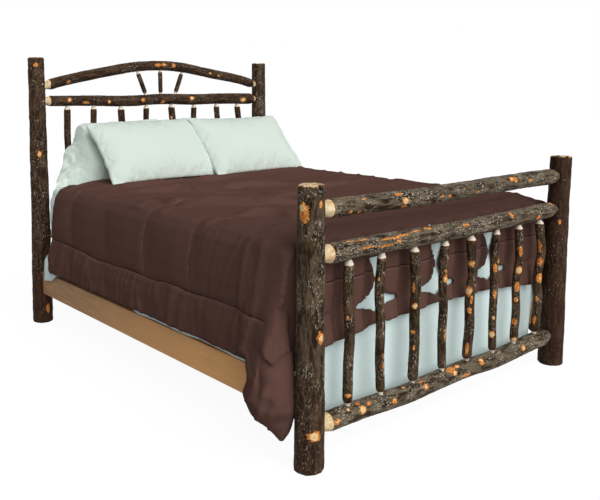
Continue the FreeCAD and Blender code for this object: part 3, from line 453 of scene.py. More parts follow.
build_bark(bark_finish)
post_knots = {
    "foot_post_left": [(304, 214, 12, 7.5), (302.5, 208.5, 7, 6.5, 3.8), (321, 204, 5, 2.8, 1.0),
                       (320.5, 338, 8, 5.5, 2.6), (314, 436, 6.5, 8.5, 4.2)],
    "foot_post_right": [(560, 222, 3, 2), (569, 300, 4, 2)],
    "head_post_left": [(36, 65, 2.5, 3), (39.5, 154, 4, 2.5, 1.4), (48, 308, 6, 2.5)],
    "head_post_right": [],
}
post_tones = {"foot_post_left": 0.35, "foot_post_right": -0.8,
              "head_post_left": -0.35, "head_post_right": -0.1}
posts = {}
for seed, (node, spots) in enumerate(post_knots.items(), start=11):
    posts[node] = barked_log(node, (0, 0, 1), post_grid, post_furrow, (-0.001, 0.001), spots, 6, seed,
                             (0.002, 0.008), post_tones[node])

# The five straight rails and the steamed arch over the headboard: thinner logs between the posts.
# Each end is turned to a cream cone and a round tenon, glued and screwed into the post.
rail_grid = 0.0036
rail_furrow = (0.009, 0.0018)
foot_rail_end = 0.092
foot_rail_far_end = 0.047
head_rail_end = 0.074
head_rail_far_end = 0.062
rail_knots = {
    "foot_top_rail": [
        (405.5, 201.3, 4, 4.5, 3.0), (404, 206.5, 3.5, 1.6), (398.4, 194.5, 5, 2.2),
        (364, 198.9, 4, 1.1), (343, 198.5, 5, 0.9), (351.3, 212, 2.4, 2.6), (359, 212, 1.8, 2.4),
        (442, 196.4, 2.4, 2.0), (450, 195.8, 3, 1.8), (511.5, 179, 3.0, 3.2, 1.6),
        (516, 179.5, 2.0, 4.5), (530, 180, 2.2, 1.6), (478, 192, 2.0, 1.4)],
    "foot_middle_rail": [
        (350, 241.5, 7, 1.3), (363, 239.8, 8, 1.2), (388, 238.6, 10, 1.4), (397, 237.5, 5, 2.0),
        (403, 235, 8, 1.5), (428, 228.4, 5, 2.1), (368, 248, 12, 1.3), (386, 246.3, 12, 1.2),
        (399, 241.5, 3, 2.0), (415, 231, 8, 1.2), (511.5, 214.5, 1.8, 5), (551, 203.6, 3, 2.4),
        (466, 225, 4, 2.2), (538.7, 217.5, 2.2, 3)],
    "foot_bottom_rail": [
        (337, 422.5, 4, 3.6, 1.2), (348.1, 409.7, 1.8, 1.8, 1.7), (362.5, 409.7, 5, 5.2, 3.3),
        (357, 403.8, 2.5, 2.5), (369, 403.4, 3, 2.5), (394.4, 401, 3.4, 3.2), (403.5, 387, 2.4, 1.8),
        (425.9, 387, 3.2, 3.8, 1.6), (420.7, 381.8, 3, 2), (450.4, 370, 5, 4.2),
        (456.7, 366.5, 3.8, 2.4, 1.7), (454.8, 373.3, 2.8, 3.4, 1.9), (466.3, 375, 6, 2.4),
        (480.7, 360.3, 3.2, 2.6, 1.6), (482, 363.5, 3, 2.4), (523.3, 348, 2.4, 3.6, 1.6)],
    "head_upper_rail": [
        (69.8, 99.8, 2.8, 2.8, 1.2), (86.4, 102.7, 4, 1.8), (109.2, 102, 2.2, 2.4, 1.0),
        (143.2, 99.8, 2.6, 2.6), (162.6, 102, 2.4, 2.6), (191.7, 98.2, 2.8, 2.8, 1.6),
        (243, 100, 3.6, 3, 1.7)],
    "head_lower_rail": [],
    "head_arch_rail": [(68.5, 81.5, 2.4, 2.2), (157.7, 64.8, 4, 2), (164, 64.8, 3, 2.2),
                       (173.7, 65.5, 2.2, 3), (210.4, 73.5, 1.8, 1.4, 0.6), (219, 76, 2.4, 1.2)],
}
for seed, (node, spots) in enumerate(rail_knots.items(), start=31):
    at_foot = node.startswith("foot")
    ends = (foot_rail_end, foot_rail_far_end) if at_foot else (head_rail_end, head_rail_far_end)
    tone = 0.85 if at_foot else -0.45
    barked_log(node, (1, 0, 0), rail_grid, rail_furrow, ends, spots, 12, seed, tone=tone)

# Nineteen spindles: eight in each end of the bed and three that fan out under the arch.
# They are saplings, bent a little, with small cream cones where they enter the rails.
spindle_grid = 0.0030
spindle_furrow = (0.006, 0.0009)
spindle_low_end = 0.035
spindle_top_end = 0.043
fan_end = 0.027
spindle_knots = {
    "foot_spindle_1": [(348.1, 396, 2.6, 4.5), (348, 318, 3, 2)],
    "foot_spindle_2": [(384, 356, 4, 1.4), (383.5, 366, 5, 2), (379, 279, 2.5, 1.6, 0.8)],
    "foot_spindle_3": [(413.5, 288, 7, 2.2), (414.5, 306, 3.6, 3.4, 2.0), (412.7, 331.6, 2, 3.5),
                       (414, 348, 4, 1.4)],
    "foot_spindle_4": [(445.8, 279, 5.5, 3.8, 1.4), (446.5, 271, 3, 1.6), (445.6, 336, 9, 1.6)],
    "foot_spindle_5": [(471.3, 263.4, 4.2, 4.4, 1.5), (467, 275, 6, 2.4), (468.5, 291, 7, 4.6, 2.8),
                       (471.5, 300, 5, 2.0), (469.5, 310.7, 4, 2.8), (467, 349, 8, 2.0)],
    "foot_spindle_6": [(498.9, 260.5, 3.6, 2.6, 1.3), (495.6, 268, 5, 3.0), (495, 294.4, 6, 2.2),
                       (493.5, 318, 2.4, 1.8, 1.2), (491.8, 334.2, 4, 3.8, 2.4)],
    "foot_spindle_7": [(520.8, 251, 6, 2.6), (519, 270, 5, 4.0, 2.8), (517.3, 286.4, 6, 3.6),
                       (515.8, 299.5, 3.2, 2.6), (514, 321.5, 3.6, 3.6), (514, 339.5, 3.0, 3.8, 1.8)],
    "foot_spindle_8": [(540, 246, 8, 2.8), (540, 261.5, 5, 3.8), (539.5, 278.5, 6, 4.0, 1.2),
                       (537, 299, 3, 2.0), (534, 320, 5, 2.0)],
    "head_spindle_5": [(171.4, 117.3, 2.5, 1.5, 1.0)],
}
for place in ("foot", "head"):
    for count in range(1, 9):
        node = f"{place}_spindle_{count}"
        seed = 50 + count + (20 if place == "head" else 0)
        tone = -0.6 if place == "head" else 0.25 - 0.06 * count
        barked_log(node, (0, 0, 1), spindle_grid, spindle_furrow, (spindle_low_end, spindle_top_end),
                   spindle_knots.get(node, []), 3, seed, tone=tone)
for seed, (side, lean) in enumerate((("left", -0.44), ("centre", 0), ("right", 0.44)), start=90):
    barked_log("fan_spindle_" + side, (lean, 0, 1), spindle_grid, spindle_furrow, (fan_end, fan_end), [], 1,
               seed)

# The two side rails: planed planks with eased edges, stained honey brown and lacquered. Hooks at their ends
# drop into the posts.
plank_finish = Finish("stained_plank")
plank_grain = plank_finish.noise(plank_finish.place((9, 1, 14)), 6, 5, 0.6)
plank_streaks = plank_finish.noise(plank_finish.place((30, 1.2, 60)), 4, 4, 0.6)
# Painted light: the plank is painted darker and redder towards the head, and lighter and more golden towards
# the foot, where the light on it is stronger.
plank_light_falloff = plank_finish.node("SeparateXYZ", ("Vector", plank_finish.place()), out="Y")
plank_colour = plank_finish.mix(plank_finish.step(plank_light_falloff, 0.95, -0.75), (164, 124, 88),
                                (248, 186, 121))
for share, most, streak_paint in ((plank_finish.step(plank_grain, 0.35, 0.68), 0.35, (224, 178, 122)),
                                  (plank_finish.step(plank_streaks, 0.52, 0.72), 0.25, (166, 118, 74))):
    plank_colour = plank_finish.mix(plank_finish.sums("MULTIPLY", share, most), plank_colour, streak_paint)
plank_finish.give(Base_Color=plank_colour, Roughness=0.45, Specular_IOR_Level=0.08)
plank_finish.bump(plank_streaks, 0.15, 0.0006)


def refinish(node, finish):
    """Gives a piece that keeps its own shape its material."""
    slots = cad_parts[node].data.materials
    slots.clear()
    slots.append(finish.material)


for side in ("left", "right"):
    refinish("side_rail_" + side, plank_finish)

# Under the box spring: pine ledgers screwed to the side rails, and five slats screwed down across them.
# Every second slat stands on a short leg at its middle.
pine_finish = Finish("plain_pine")
pine_grain = pine_finish.noise(pine_finish.place((3, 3, 3)), 8, 5, 0.6)
pine_colour = pine_finish.mix(pine_finish.step(pine_grain, 0.35, 0.65), (222, 190, 140), (200, 160, 106))
pine_finish.give(Base_Color=pine_colour, Roughness=0.6)
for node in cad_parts:
    if node.startswith(("ledger_", "slat_", "centre_leg")) and not node.endswith("screws"):
        refinish(node, pine_finish)

# The hardware: hook plates, slotted plates and wood screws, all of steel with a coat of zinc. The plates are
# screwed to the rail ends and into the posts.
zinc_finish = Finish("zinc_steel")
zinc_scratches = zinc_finish.noise(zinc_finish.place((40, 40, 400)), 3, 3, 0.6)
zinc_colour = zinc_finish.mix(zinc_scratches, (176, 178, 180), (150, 152, 154))
zinc_finish.give(Base_Color=zinc_colour, Metallic=1.0, Roughness=0.34)
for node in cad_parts:
    if node.endswith(("screws", "plates")):
        refinish(node, zinc_finish)

# The box spring and the mattress: padded blocks in off-white ticking, with a piped cord round their edges.
# The box spring lies on the slats, the mattress on the box spring.
ticking_grid = 0.017
tuft_spacing = 0.19
cord_radius = 0.005
cord_inset = Vector((0.004, 0.004, 0))
cord_up, cord_down = 0.02, 0.03
cord_steps = 6


def woven(finish, where, share, colours, threads, relief, **gloss):
    """Gives a cloth its two thread colours, its gloss and the relief of its weave."""
    finish.give(Base_Color=finish.mix(share, *colours), **gloss)
    finish.bump(finish.noise(where, threads, 2, 0.5), *relief)


ticking_finish = Finish("ticking")
ticking_place = ticking_finish.place()
ticking_stripe = ticking_finish.node("TexWave", ("Vector", ticking_place), ("Scale", 9), ("Distortion", 1.2),
                                     ("Detail", 3), bands_direction="X")
woven(ticking_finish, ticking_place, ticking_finish.step(ticking_stripe, 0.45, 0.55),
      ((224, 221, 210), (208, 203, 190)), 1400, (0.3, 0.0006), Roughness=0.85)


def round_corner(x, y, radius, start, steps):
    """Points on a quarter circle, from the start angle on. A corner with no radius is one point."""
    turns = [math.radians(start + 90 * step / steps) for step in range(steps + 1 if radius else 1)]
    return [(x + radius * math.cos(turn), y + radius * math.sin(turn)) for turn in turns]


def edge_cord(name, lowest, highest, height, corner):
    """A cord sewn round a block's edge: a rounded rectangle of round section."""
    line = bpy.data.curves.new(name, "CURVE")
    line.dimensions = "3D"
    line.bevel_depth = cord_radius
    line.bevel_resolution = 2
    spline = line.splines.new("POLY")
    left, right = lowest.x + corner, highest.x - corner
    foot, head = lowest.y + corner, highest.y - corner
    points = []
    for quarter, middle in enumerate(((right, head), (left, head), (left, foot), (right, foot))):
        points += round_corner(*middle, corner, 90 * quarter, cord_steps)
    spline.points.add(len(points) - 1)
    for point, place in zip(spline.points, points):
        point.co = (*place, height, 1)
    spline.use_cyclic_u = True
    curve = put_in(name, line)
    mesh = bpy.data.meshes.new_from_object(curve.evaluated_get(bpy.context.evaluated_depsgraph_get()))
    piece = bpy.data.objects.new(name, mesh)
    bpy.data.objects.remove(curve)
    bpy.context.collection.objects.link(piece)
    dressed(piece, None, ticking_finish)


for node, puff, corner in (("box_spring", 0.0, 0.046), ("mattress", 0.004, 0.066)):
    block = even_grid(merged_copy(node), ticking_grid)
    places, outward = read_points(block)
    tufts = np.cos(places[:, :2] * 2 * math.pi / tuft_spacing).prod(1)
    dips = -puff * ease_step(tufts, 0.6, 1.0) * (np.abs(outward[:, 2]) > 0.8)
    write_points(block, places + outward * dips[:, None])
    dressed(block, node, ticking_finish)
    lowest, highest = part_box(node)
    for count, height in enumerate((lowest.z + cord_up, highest.z - cord_down), start=1):
        edge_cord(f"{node}_cord_{count}", lowest + cord_inset, highest - cord_inset, height, corner)

# The two sheets: a fitted sheet drawn over the mattress, and a flat sheet laid on it that hangs at the foot
# and both sides under the comforter. Both are plain cotton percale, and the flat one hangs in soft folds.
sheet_thick = 0.0012
sheet_corner = 0.07
sheet_edge = 0.036
spine_inset = 0.7
top_rows, edge_rows, hang_rows = 14, 8, 44
corner_steps = 12
fitted_gap, flat_gap = 0.0011, 0.0029
fitted_drop = 0.262
side_hem, foot_hem = 0.310, 0.124
hem_scallop = 0.007
narrow_fold, broad_fold = 0.0085, 0.006
side_lean, head_bulge = 0.052, 0.016
mattress_low, mattress_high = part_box("mattress")


def cotton(name, *colours):
    """A plain cotton: one pale colour, a little uneven."""
    finish = Finish(name)
    where = finish.place()
    woven(finish, where, finish.noise(where, 9), colours, 1500, (0.25, 0.0004), Roughness=0.8,
          Specular_IOR_Level=0.0)
    return finish


mint_finish = cotton("mint_cotton", (206, 222, 214), (214, 228, 221))
blue_finish = cotton("blue_cotton", (217, 235, 232), (224, 241, 239))


def rounded_path(low, high, spacing, open_head):
    """Points round a rounded rectangle, evenly spaced, with their outward directions and the distance
    walked. An open path runs from the left side's head end round the foot to the right side's."""
    left, right = low[0] + sheet_corner, high[0] - sheet_corner
    foot, head = low[1] + sheet_corner, high[1] - sheet_corner
    corners = [(left, foot, sheet_corner, 180), (right, foot, sheet_corner, 270)]
    if open_head:
        corners = [(low[0], high[1], 0, 180), *corners, (high[0], high[1], 0, 360)]
    else:
        corners += [(right, head, sheet_corner, 0), (left, head, sheet_corner, 90)]
    line = [place for corner in corners for place in round_corner(*corner, corner_steps)]
    if not open_head:
        line.append(line[0])
    line = np.array(line)
    walked = np.concatenate([[0], np.cumsum(np.linalg.norm(np.diff(line, axis=0), axis=1))])
    even = np.linspace(0, walked[-1], int(walked[-1] / spacing))
    path = np.stack([np.interp(even, walked, line[:, 0]), np.interp(even, walked, line[:, 1])], 1)
    along = np.gradient(path, axis=0)
    along /= np.linalg.norm(along, axis=1)[:, None]
    return path, np.stack([along[:, 1], -along[:, 0]], 1), even


def laid_over(name, gap, head_y, drops, folds, spacing, open_head):
    """A sheet over the mattress: flat on top, round over the edge, and hanging by its drops in soft folds."""
    low = (mattress_low.x - gap, mattress_low.y - gap)
    high = (mattress_high.x + gap, head_y)
    top = mattress_high.z + gap
    path, out, walked = rounded_path(low, high, spacing, open_head)
    drop = drops(path, out)
    levels = np.concatenate([np.linspace(0, 1, top_rows)[:-1] ** 0.8, 1 + np.linspace(0, 1, edge_rows)[:-1],
                             2 + np.linspace(0, 1, hang_rows)])
    spine_head = high[1] if open_head else high[1] - spine_inset
    spine = np.stack([0 * path[:, 0], np.clip(path[:, 1], low[1] + spine_inset, spine_head)], 1)
    rows = []
    for level in levels:
        if level < 1:
            place = spine + (path - out * sheet_edge - spine) * level
            height = np.full(len(path), top)
        elif level < 2:
            turn = (level - 1) * math.pi / 2
            place = path - out * sheet_edge * (1 - math.sin(turn))
            height = np.full(len(path), top - sheet_edge * (1 - math.cos(turn)))
        else:
            hang = drop * (level - 2)
            wave = folds(walked, hang, path) * ease_step(hang, 0.0, 0.03)
            place = path + out * wave[:, None]
            height = top - sheet_edge - hang
        rows.append(np.column_stack([place, height]))
    work = bmesh.new()
    bmesh.ops.create_grid(work, x_segments=len(path) - 1, y_segments=len(levels) - 1, size=0.5)
    work.verts.sort(key=lambda point: round(point.co.y * 1000) * 10 + point.co.x)
    for point, place in zip(work.verts, np.concatenate(rows)):
        point.co = place
    if not open_head:
        bmesh.ops.remove_doubles(work, verts=work.verts, dist=1e-5)
        bmesh.ops.recalc_face_normals(work, faces=work.faces)
    piece = shaped(name + "_finished", work)
    thick = piece.modifiers.new("cloth", "SOLIDIFY")
    thick.thickness = sheet_thick
    thick.offset = 0
    with_modifiers_applied(piece)
    return piece


fitted_sheet = dressed(
    laid_over("fitted_sheet", fitted_gap, mattress_high.y + fitted_gap,
              lambda path, out: np.full(len(path), fitted_drop),
              lambda walked, hang, path: 0.0006 * np.sin(walked * 23), 0.020, False),
    "fitted_sheet", mint_finish)


def flat_drops(path, out):
    """The hang of the flat sheet: short at the sides, and long at the foot."""
    at_foot = ease_step(-out[:, 1], 0.55, 0.95)
    hem = side_hem + (foot_hem - side_hem) * at_foot - 0.055 * ease_step(path[:, 1], 0.80, 0.90)
    uneven = 0.004 * smooth_noise(path / 0.08, 0, seed=8)
    scallops = hem_scallop * smooth_noise(path / 0.17, 0, seed=9)
    uneven += (scallops - 0.005 + 0.020 * ease_step(path[:, 1], -0.05, 0.20)) * (1 - at_foot)
    return mattress_high.z + flat_gap - sheet_edge - hem - uneven


def flat_folds(walked, hang, path):
    """Soft upright folds at the foot. The sides lean out over the planks, and bulge at their head end."""
    height = mattress_high.z - 0.033 - hang
    at_foot = ease_step(-path[:, 1], 0.96, 1.0)
    below_flap = ease_step(0.45 - height, 0.0, 0.12)
    folds = narrow_fold * smooth_noise(walked / 0.075, hang / 0.9, 0, seed=5)
    folds += broad_fold * smooth_noise(walked / 0.21, hang / 1.4, 3, seed=6) + 0.003
    head_end = ease_step(path[:, 1], 0.70, 0.84) * ease_step(height, 0.37, 0.47)
    lean = side_lean * np.clip((0.72 - height) / 0.39, 0, 1) * (1 - at_foot) * (1 - head_end)
    bulge = 0.010 + head_bulge * smooth_noise(walked / 0.08, height / 0.075, 0, seed=7)
    bulge *= ease_step(path[:, 1], 0.78, 0.90) * (1 - at_foot)
    return folds * below_flap * at_foot + lean + bulge


flat_sheet = dressed(
    laid_over("flat_sheet", flat_gap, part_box("flat_sheet")[1].y, flat_drops, flat_folds, 0.010, True),
    "flat_sheet", blue_finish)

# The comforter: brown polyester satin over loose filling, stitched in large panels. It hangs over both sides
# and down behind the footboard, and its two foot corners fall outside the rails in a cone.
comforter_grid = 0.0095
skin_press = 0.0003
comforter_level = 0.806
side_seam = 0.505
foot_seam = 0.630
side_stitches = (-0.452, -0.10, 0.60)
cone_middle = (0.867, -0.915)
cone_shift = (0.026, -0.046)
cone_turn = math.radians(36)
cone_levels = (0.34, 0.42, 0.52, 0.64, 0.74)
crest_levels = (0.50, 0.62, 0.74)
foot_valleys = (-0.60, -0.44, -0.25, -0.05, 0.10, 0.28, 0.41, 0.47, 0.61)
side_folds = ((-0.80, 0.022), (-0.885, 0.012))
top_fold_ends = ((140, 189, 222, 190, 1.0), (178, 201, 296, 200, 1.1), (222, 186, 282, 183, 0.9),
                 (124, 185, 170, 180, 0.7), (196, 178, 244, 175, 0.7), (246, 211, 300, 215, 0.9),
                 (300, 186, 352, 183, 0.7), (160, 197, 212, 206, 0.6), (262, 193, 300, 193, 0.6),
                 (330, 206, 420, 198, 0.5))
fold_height, crease_depth = 0.027, 0.010
wrinkle_height, second_wrinkle, fine_wrinkle = 0.0080, 0.0060, 0.0022
seam_groove, cross_groove, top_groove = 0.008, 0.0035, 0.006
upright_pucker, short_pucker = 0.0110, 0.0042
valley_depth, valley_half = 0.019, 0.016
head_drawn_back = 0.073
lap_out, tuck_in = 0.016, 0.004
cone_crumple = 0.009
satin_finish = Finish("brown_satin")


def build_satin(finish):
    """Brown satin with its seams: painted shade in the groove of the long seam along each side, a painted
    highlight on the lip under it, and a broken painted highlight along each seam across.
    """
    noise, step, mix, sums = finish.noise, finish.step, finish.mix, finish.sums
    where = finish.place()
    colour = mix(noise(where, 7, 3, 0.5), (93, 67, 59), (100, 73, 65))
    breaks = noise(where, 60, 2, 0.5)
    cross_seam = sums("ADD", finish.mark("cross_seam"), sums("MULTIPLY", breaks, 0.006))
    # Painted highlight: a broken lighter line along each seam across the comforter.
    seam_highlight = step(sums("ABSOLUTE", sums("SUBTRACT", cross_seam, 0.003)), 0.0042, 0.0015)
    seam_highlight = sums("MULTIPLY", seam_highlight, step(breaks, 0.38, 0.60))
    colour = mix(seam_highlight, colour, (122, 92, 82))
    long_seam = finish.mark("long_seam")
    # Painted highlight: a lighter band on the roll of filling just under the long seam.
    lip_highlight = step(sums("ABSOLUTE", sums("ADD", long_seam, 0.007)), 0.005, 0.001)
    colour = mix(sums("MULTIPLY", lip_highlight, 0.35), colour, (120, 92, 84))
    # Painted shade: the long seam's groove is painted near black.
    seam_shade = step(sums("ABSOLUTE", long_seam), 0.0030, 0.0008)
    colour = mix(sums("MULTIPLY", seam_shade, 0.8), colour, (38, 24, 20))
    finish.give(Base_Color=colour, Roughness=0.5, Specular_IOR_Level=0.0, Sheen_Weight=0.06,
                Sheen_Roughness=0.35, Sheen_Tint=paint(170, 128, 112))
    finish.bump(noise(where, 900, 2, 0.5), 0.12, 0.0005)


build_satin(satin_finish)


def hump(distance, half_width):
    """A smooth swelling: 1 at no distance, and next to nothing past twice its half width."""
    return np.exp(-(distance / half_width) ** 2)


def corner_fall(places):
    """Draws the comforter's head edge back from the posts, and turns each foot corner's cone towards the
    foot, under a folded edge that laps over it."""
    x, y, z = places.T
    side = np.sign(x)
    wide = np.abs(x)
    at_head = ease_step(y, 0.55, 0.87) * ease_step(wide, 0.55, 0.72)
    drawn_back = head_drawn_back * at_head * np.clip((z - 0.30) / 0.49, 0, 1)
    starts = np.interp(z, cone_levels, (0.77, 0.90, 0.905, 0.945, 0.965))
    full = np.interp(z, cone_levels, (0.90, 0.945, 0.95, 0.98, 0.995))
    share = (1 - ease_step(z, 0.42, 0.76)) * ease_step(-y, starts, full) * ease_step(wide, 0.785, 0.83)
    turn = cone_turn * share * ease_step(z, 0.07, 0.20)
    shift = share * ease_step(z, 0.08, 0.22)
    narrow = 1 - 0.66 * ease_step(z, 0.18, 0.33) * (1 - ease_step(z, 0.37, 0.45))
    across, along = wide - cone_middle[0], y - cone_middle[1]
    along = along * np.where(along > 0, narrow, 1)
    turned_wide = cone_middle[0] + across * np.cos(turn) + along * np.sin(turn) + cone_shift[0] * shift
    turned_y = cone_middle[1] + along * np.cos(turn) - across * np.sin(turn) + cone_shift[1] * shift
    wide = np.where(share > 0, turned_wide, wide)
    y_new = np.where(share > 0, turned_y, y)
    edge_z = np.interp(y_new, (-1.07, -1.018, -0.965, -0.90), (0.512, 0.380, 0.425, 0.43))
    over = ease_step(z, edge_z - 0.004, edge_z + 0.004)
    lap = lap_out * over * (1 - ease_step(z, 0.42, 0.60)) - tuck_in * (1 - over)
    lap *= ease_step(share, 0.5, 0.9)
    crumple = smooth_noise(places / (0.05, 0.05, 0.035), seed=33) * (1 - ease_step(z, 0.30, 0.44)) * share
    faces_away = (np.abs(x) > 0.835) & (y < -0.70)
    out = np.where(faces_away, lap + cone_crumple * crumple, 0)
    return np.column_stack([side * (wide + out), y_new - drawn_back - 0.4 * out, z])


def seen_on_top(x, y):
    """Where the eye's line through a pixel of the picture meets the level of the comforter's top."""
    line = sight_line(x, y)
    return np.array(eye_place + line * ((comforter_level - eye_place.z) / line.z))[:2]


def long_top_folds(places):
    """The long soft folds across the bed, each between two pixels, with a sharper crease before its foot."""
    height = np.zeros(len(places))
    for x0, y0, x1, y1, share in top_fold_ends:
        start, end = seen_on_top(x0, y0), seen_on_top(x1, y1)
        length = np.linalg.norm(end - start)
        way = (end - start) / length
        along = (places[:, :2] - start) @ way / length
        bend = 0.022 * np.sin(5.5 * along + 9 * share)
        across = (places[:, :2] - start) @ np.array((-way[1], way[0])) + bend
        ends = ease_step(along, -0.25, 0.25) * (1 - ease_step(along, 0.75, 1.25))
        height += share * ends * (fold_height * hump(across, 0.036)
                                  - crease_depth * hump(across + 0.056, 0.014))
    return height


def ridged(wander):
    """Narrow raised folds along the lines where a smooth noise passes through nothing."""
    return np.clip(1 - 2.2 * np.abs(wander), 0, 1) ** 2


def long_seam_distance(places):
    """How far above the side's long seam each point lies. The seam waves a little."""
    x, y, z = places.T
    wave = smooth_noise(y / 0.16, 0, np.sign(x), seed=12)
    kinks = smooth_noise(y / 0.045, 0, np.sign(x), seed=13)
    return z - side_seam - 0.008 * wave - 0.0012 * kinks - 0.02 * ease_step(y, 0.45, 0.8)


def cross_seam_distance(places):
    """How far along the bed each point lies from the nearest seam across the comforter."""
    x, y, z = places.T
    wave = 0.006 * smooth_noise(z / 0.07, 0, np.sign(x), seed=14) + 0.10 * (z - 0.6) ** 2
    aways = np.array([y - stitch + wave for stitch in side_stitches])
    return aways[np.argmin(np.abs(aways), axis=0), np.arange(len(y))]


def side_relief(places):
    """The long seam with the filling swelling above and under it, puckers, and upright folds by the foot."""
    x, y, z = places.T
    under = long_seam_distance(places)
    lip = (0.005 * hump(under + 0.016, 0.012) + 0.009 * hump(under + 0.045, 0.04)
           + 0.004 * hump(under - 0.03, 0.03) - seam_groove * hump(under, 0.006))
    relief = lip * ease_step(y, -0.955, -0.90) * (1 - 0.8 * ease_step(y, 0.66, 0.80))
    slant = y + 0.22 * (z - 0.6)
    upright = ridged(smooth_noise(slant / 0.042, z / 0.26, np.sign(x), seed=21))
    short = smooth_noise(slant / 0.019, z / 0.09, np.sign(x), seed=20)
    broad = smooth_noise(slant / 0.085, z / 0.6, np.sign(x), seed=22)
    patch = ease_step(smooth_noise(y / 0.22, z / 0.2, np.sign(x), seed=23), -0.5, 0.5)
    below = ease_step(-under, 0.0, 0.02)
    near_foot = ease_step(-y, 0.30, 0.75)
    relief += below * (0.3 + 0.7 * patch) * (upright_pucker * upright + short_pucker * short)
    relief += (1 - below) * (0.25 * patch + near_foot) * (0.0035 * upright + 0.0006 * short)
    relief += (0.0015 + 0.006 * near_foot) * broad
    for middle, half_width in side_folds:
        relief += 0.4 * half_width * (1 - below) * hump(y - middle + 0.05 * (z - 0.6), half_width)
    return relief - cross_groove * hump(cross_seam_distance(places), 0.012) * ease_step(under, 0.0, 0.02)


def corner_relief(places, outward):
    """The filling that rounds each foot corner out to its crest, and falls away past it."""
    x, y, z = places.T
    crest_y = np.interp(z, (0.43, 0.50, 0.62, 0.74), (-0.965, -0.957, -0.985, -0.995))
    side_line = np.interp(z, crest_levels, (0.866, 0.853, 0.834))
    filled_out = np.clip(side_line - np.abs(x), 0, 0.03) / np.maximum(np.abs(outward[:, 0]), 0.6)
    past_crest = np.interp(z, crest_levels, (0.010, 0.025, 0.034)) * np.exp(np.minimum(y - crest_y, 0) / 0.03)
    there = (np.abs(x) > 0.74) & (outward[:, 0] * np.sign(x) > -0.2)
    return (np.where(y > crest_y, filled_out, past_crest) * ease_step(-y, 0.80, 0.88)
            * ease_step(z, 0.44, 0.52) * (1 - ease_step(z, 0.73, 0.79)) * there)


def top_relief(places):
    """Long soft wrinkles over the bed, and the dips of the seams."""
    x, y, _ = places.T
    lie = smooth_noise(x / 0.5, y / 0.4, 0, seed=24)
    bent = np.column_stack([x / 0.45 + 0.6 * lie, (y + 0.16 * x + 0.07 * lie) / 0.105, 0 * x])
    second = smooth_noise(x / 0.34 + 0.5 * lie, (y - 0.30 * x + 0.05 * lie) / 0.13, 0, seed=29)
    patches = ease_step(smooth_noise(x / 0.4, y / 0.35, 0, seed=26), -0.5, 0.35)
    wrinkles = wrinkle_height * ridged(smooth_noise(bent, seed=25)) * patches
    wrinkles += second_wrinkle * ridged(second) * (1 - patches)
    wrinkles += fine_wrinkle * smooth_noise(bent * (1.5, 2.1, 1), seed=30) + 0.006 * lie
    wrinkles += long_top_folds(places)
    seams = top_groove * hump(cross_seam_distance(places), 0.014) * ease_step(np.abs(x), 0.30, 0.62)
    return wrinkles - seams - 0.004 * hump(np.abs(x) - 0.70, 0.02)


def foot_relief(places):
    """Broad upright folds between narrow valleys, and the seam of the flap."""
    x, _, z = places.T
    valley = np.min([np.abs(x - middle - 0.03 * (z - 0.6)) for middle in foot_valleys], axis=0)
    return (0.006 - valley_depth * hump(valley, valley_half) - 0.003 * hump(z - foot_seam, 0.006)
            + 0.002 * smooth_noise(x / 0.05, z / 0.1, 0, seed=27))


def settled_against(piece, neighbour):
    """Carries the points of a soft piece that lie inside its neighbour back to the neighbour's skin."""
    work = bmesh.new()
    work.from_mesh(neighbour.data)
    skin = BVHTree.FromBMesh(work)
    work.free()
    places, _ = read_points(piece)
    there, _ = read_points(neighbour)
    close_by = np.all((places > there.min(0)) & (places < there.max(0)), axis=1)
    for index in np.flatnonzero(close_by):
        spot = Vector(places[index])
        way_out = skin.ray_cast(spot, Vector((0, 0, 1)))[1]
        if way_out is not None and way_out.z > 0:
            touched, outward, _, _ = skin.find_nearest(spot)
            places[index] = touched - skin_press * outward
    write_points(piece, places)


comforter = even_grid(merged_copy("comforter"), comforter_grid)
places, outward = read_points(comforter)
x, y, z = places.T
wide = np.abs(x)
inner = ((wide > 0.755) & (wide < 0.84) & (outward[:, 0] * np.sign(x) < -0.4) & (z > 0.30)
         | (z > 0.74) & (z < 0.780) & (outward[:, 2] < -0.5)
         | (y < -0.98) & (wide < 0.79) & (outward[:, 1] > 0.4))
on_top = ease_step(outward[:, 2], 0.55, 0.97)
on_side = ease_step(np.abs(outward[:, 0]), 0.5, 0.85) * (wide > 0.79)
on_foot = ease_step(-outward[:, 1], 0.6, 0.9) * (y < -0.99) * (wide < 0.83)
levelled = 0.7 * np.clip(0.800 - z, 0, 0.006) * ((wide < 0.70) & (np.abs(y + 0.07) < 0.88) & (z > 0.79))
push = (side_relief(places) * on_side + corner_relief(places, outward) + top_relief(places) * on_top
        + foot_relief(places) * on_foot + levelled)
foot_seam_distance = z - foot_seam - 0.004 * smooth_noise(places / 0.12, seed=15)
by_foot_seam = np.where((y < -1.0) & (wide < 0.70), foot_seam_distance, 1.0)
write_attribute(comforter, "long_seam", np.where((wide > 0.80) & (y > -0.935), long_seam_distance(places),
                                                 by_foot_seam))
sewn_across = (wide > 0.62) & (y > -0.875) & (z > side_seam) & ~inner
write_attribute(comforter, "cross_seam", np.where(sewn_across, cross_seam_distance(places), 1.0))
write_points(comforter, corner_fall(places + outward * np.where(inner, 0, push)[:, None]))
for side in ("left", "right"):
    settled_against(comforter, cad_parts["side_rail_" + side])
    settled_against(comforter, posts["foot_post_" + side])
dressed(comforter, "comforter", satin_finish)

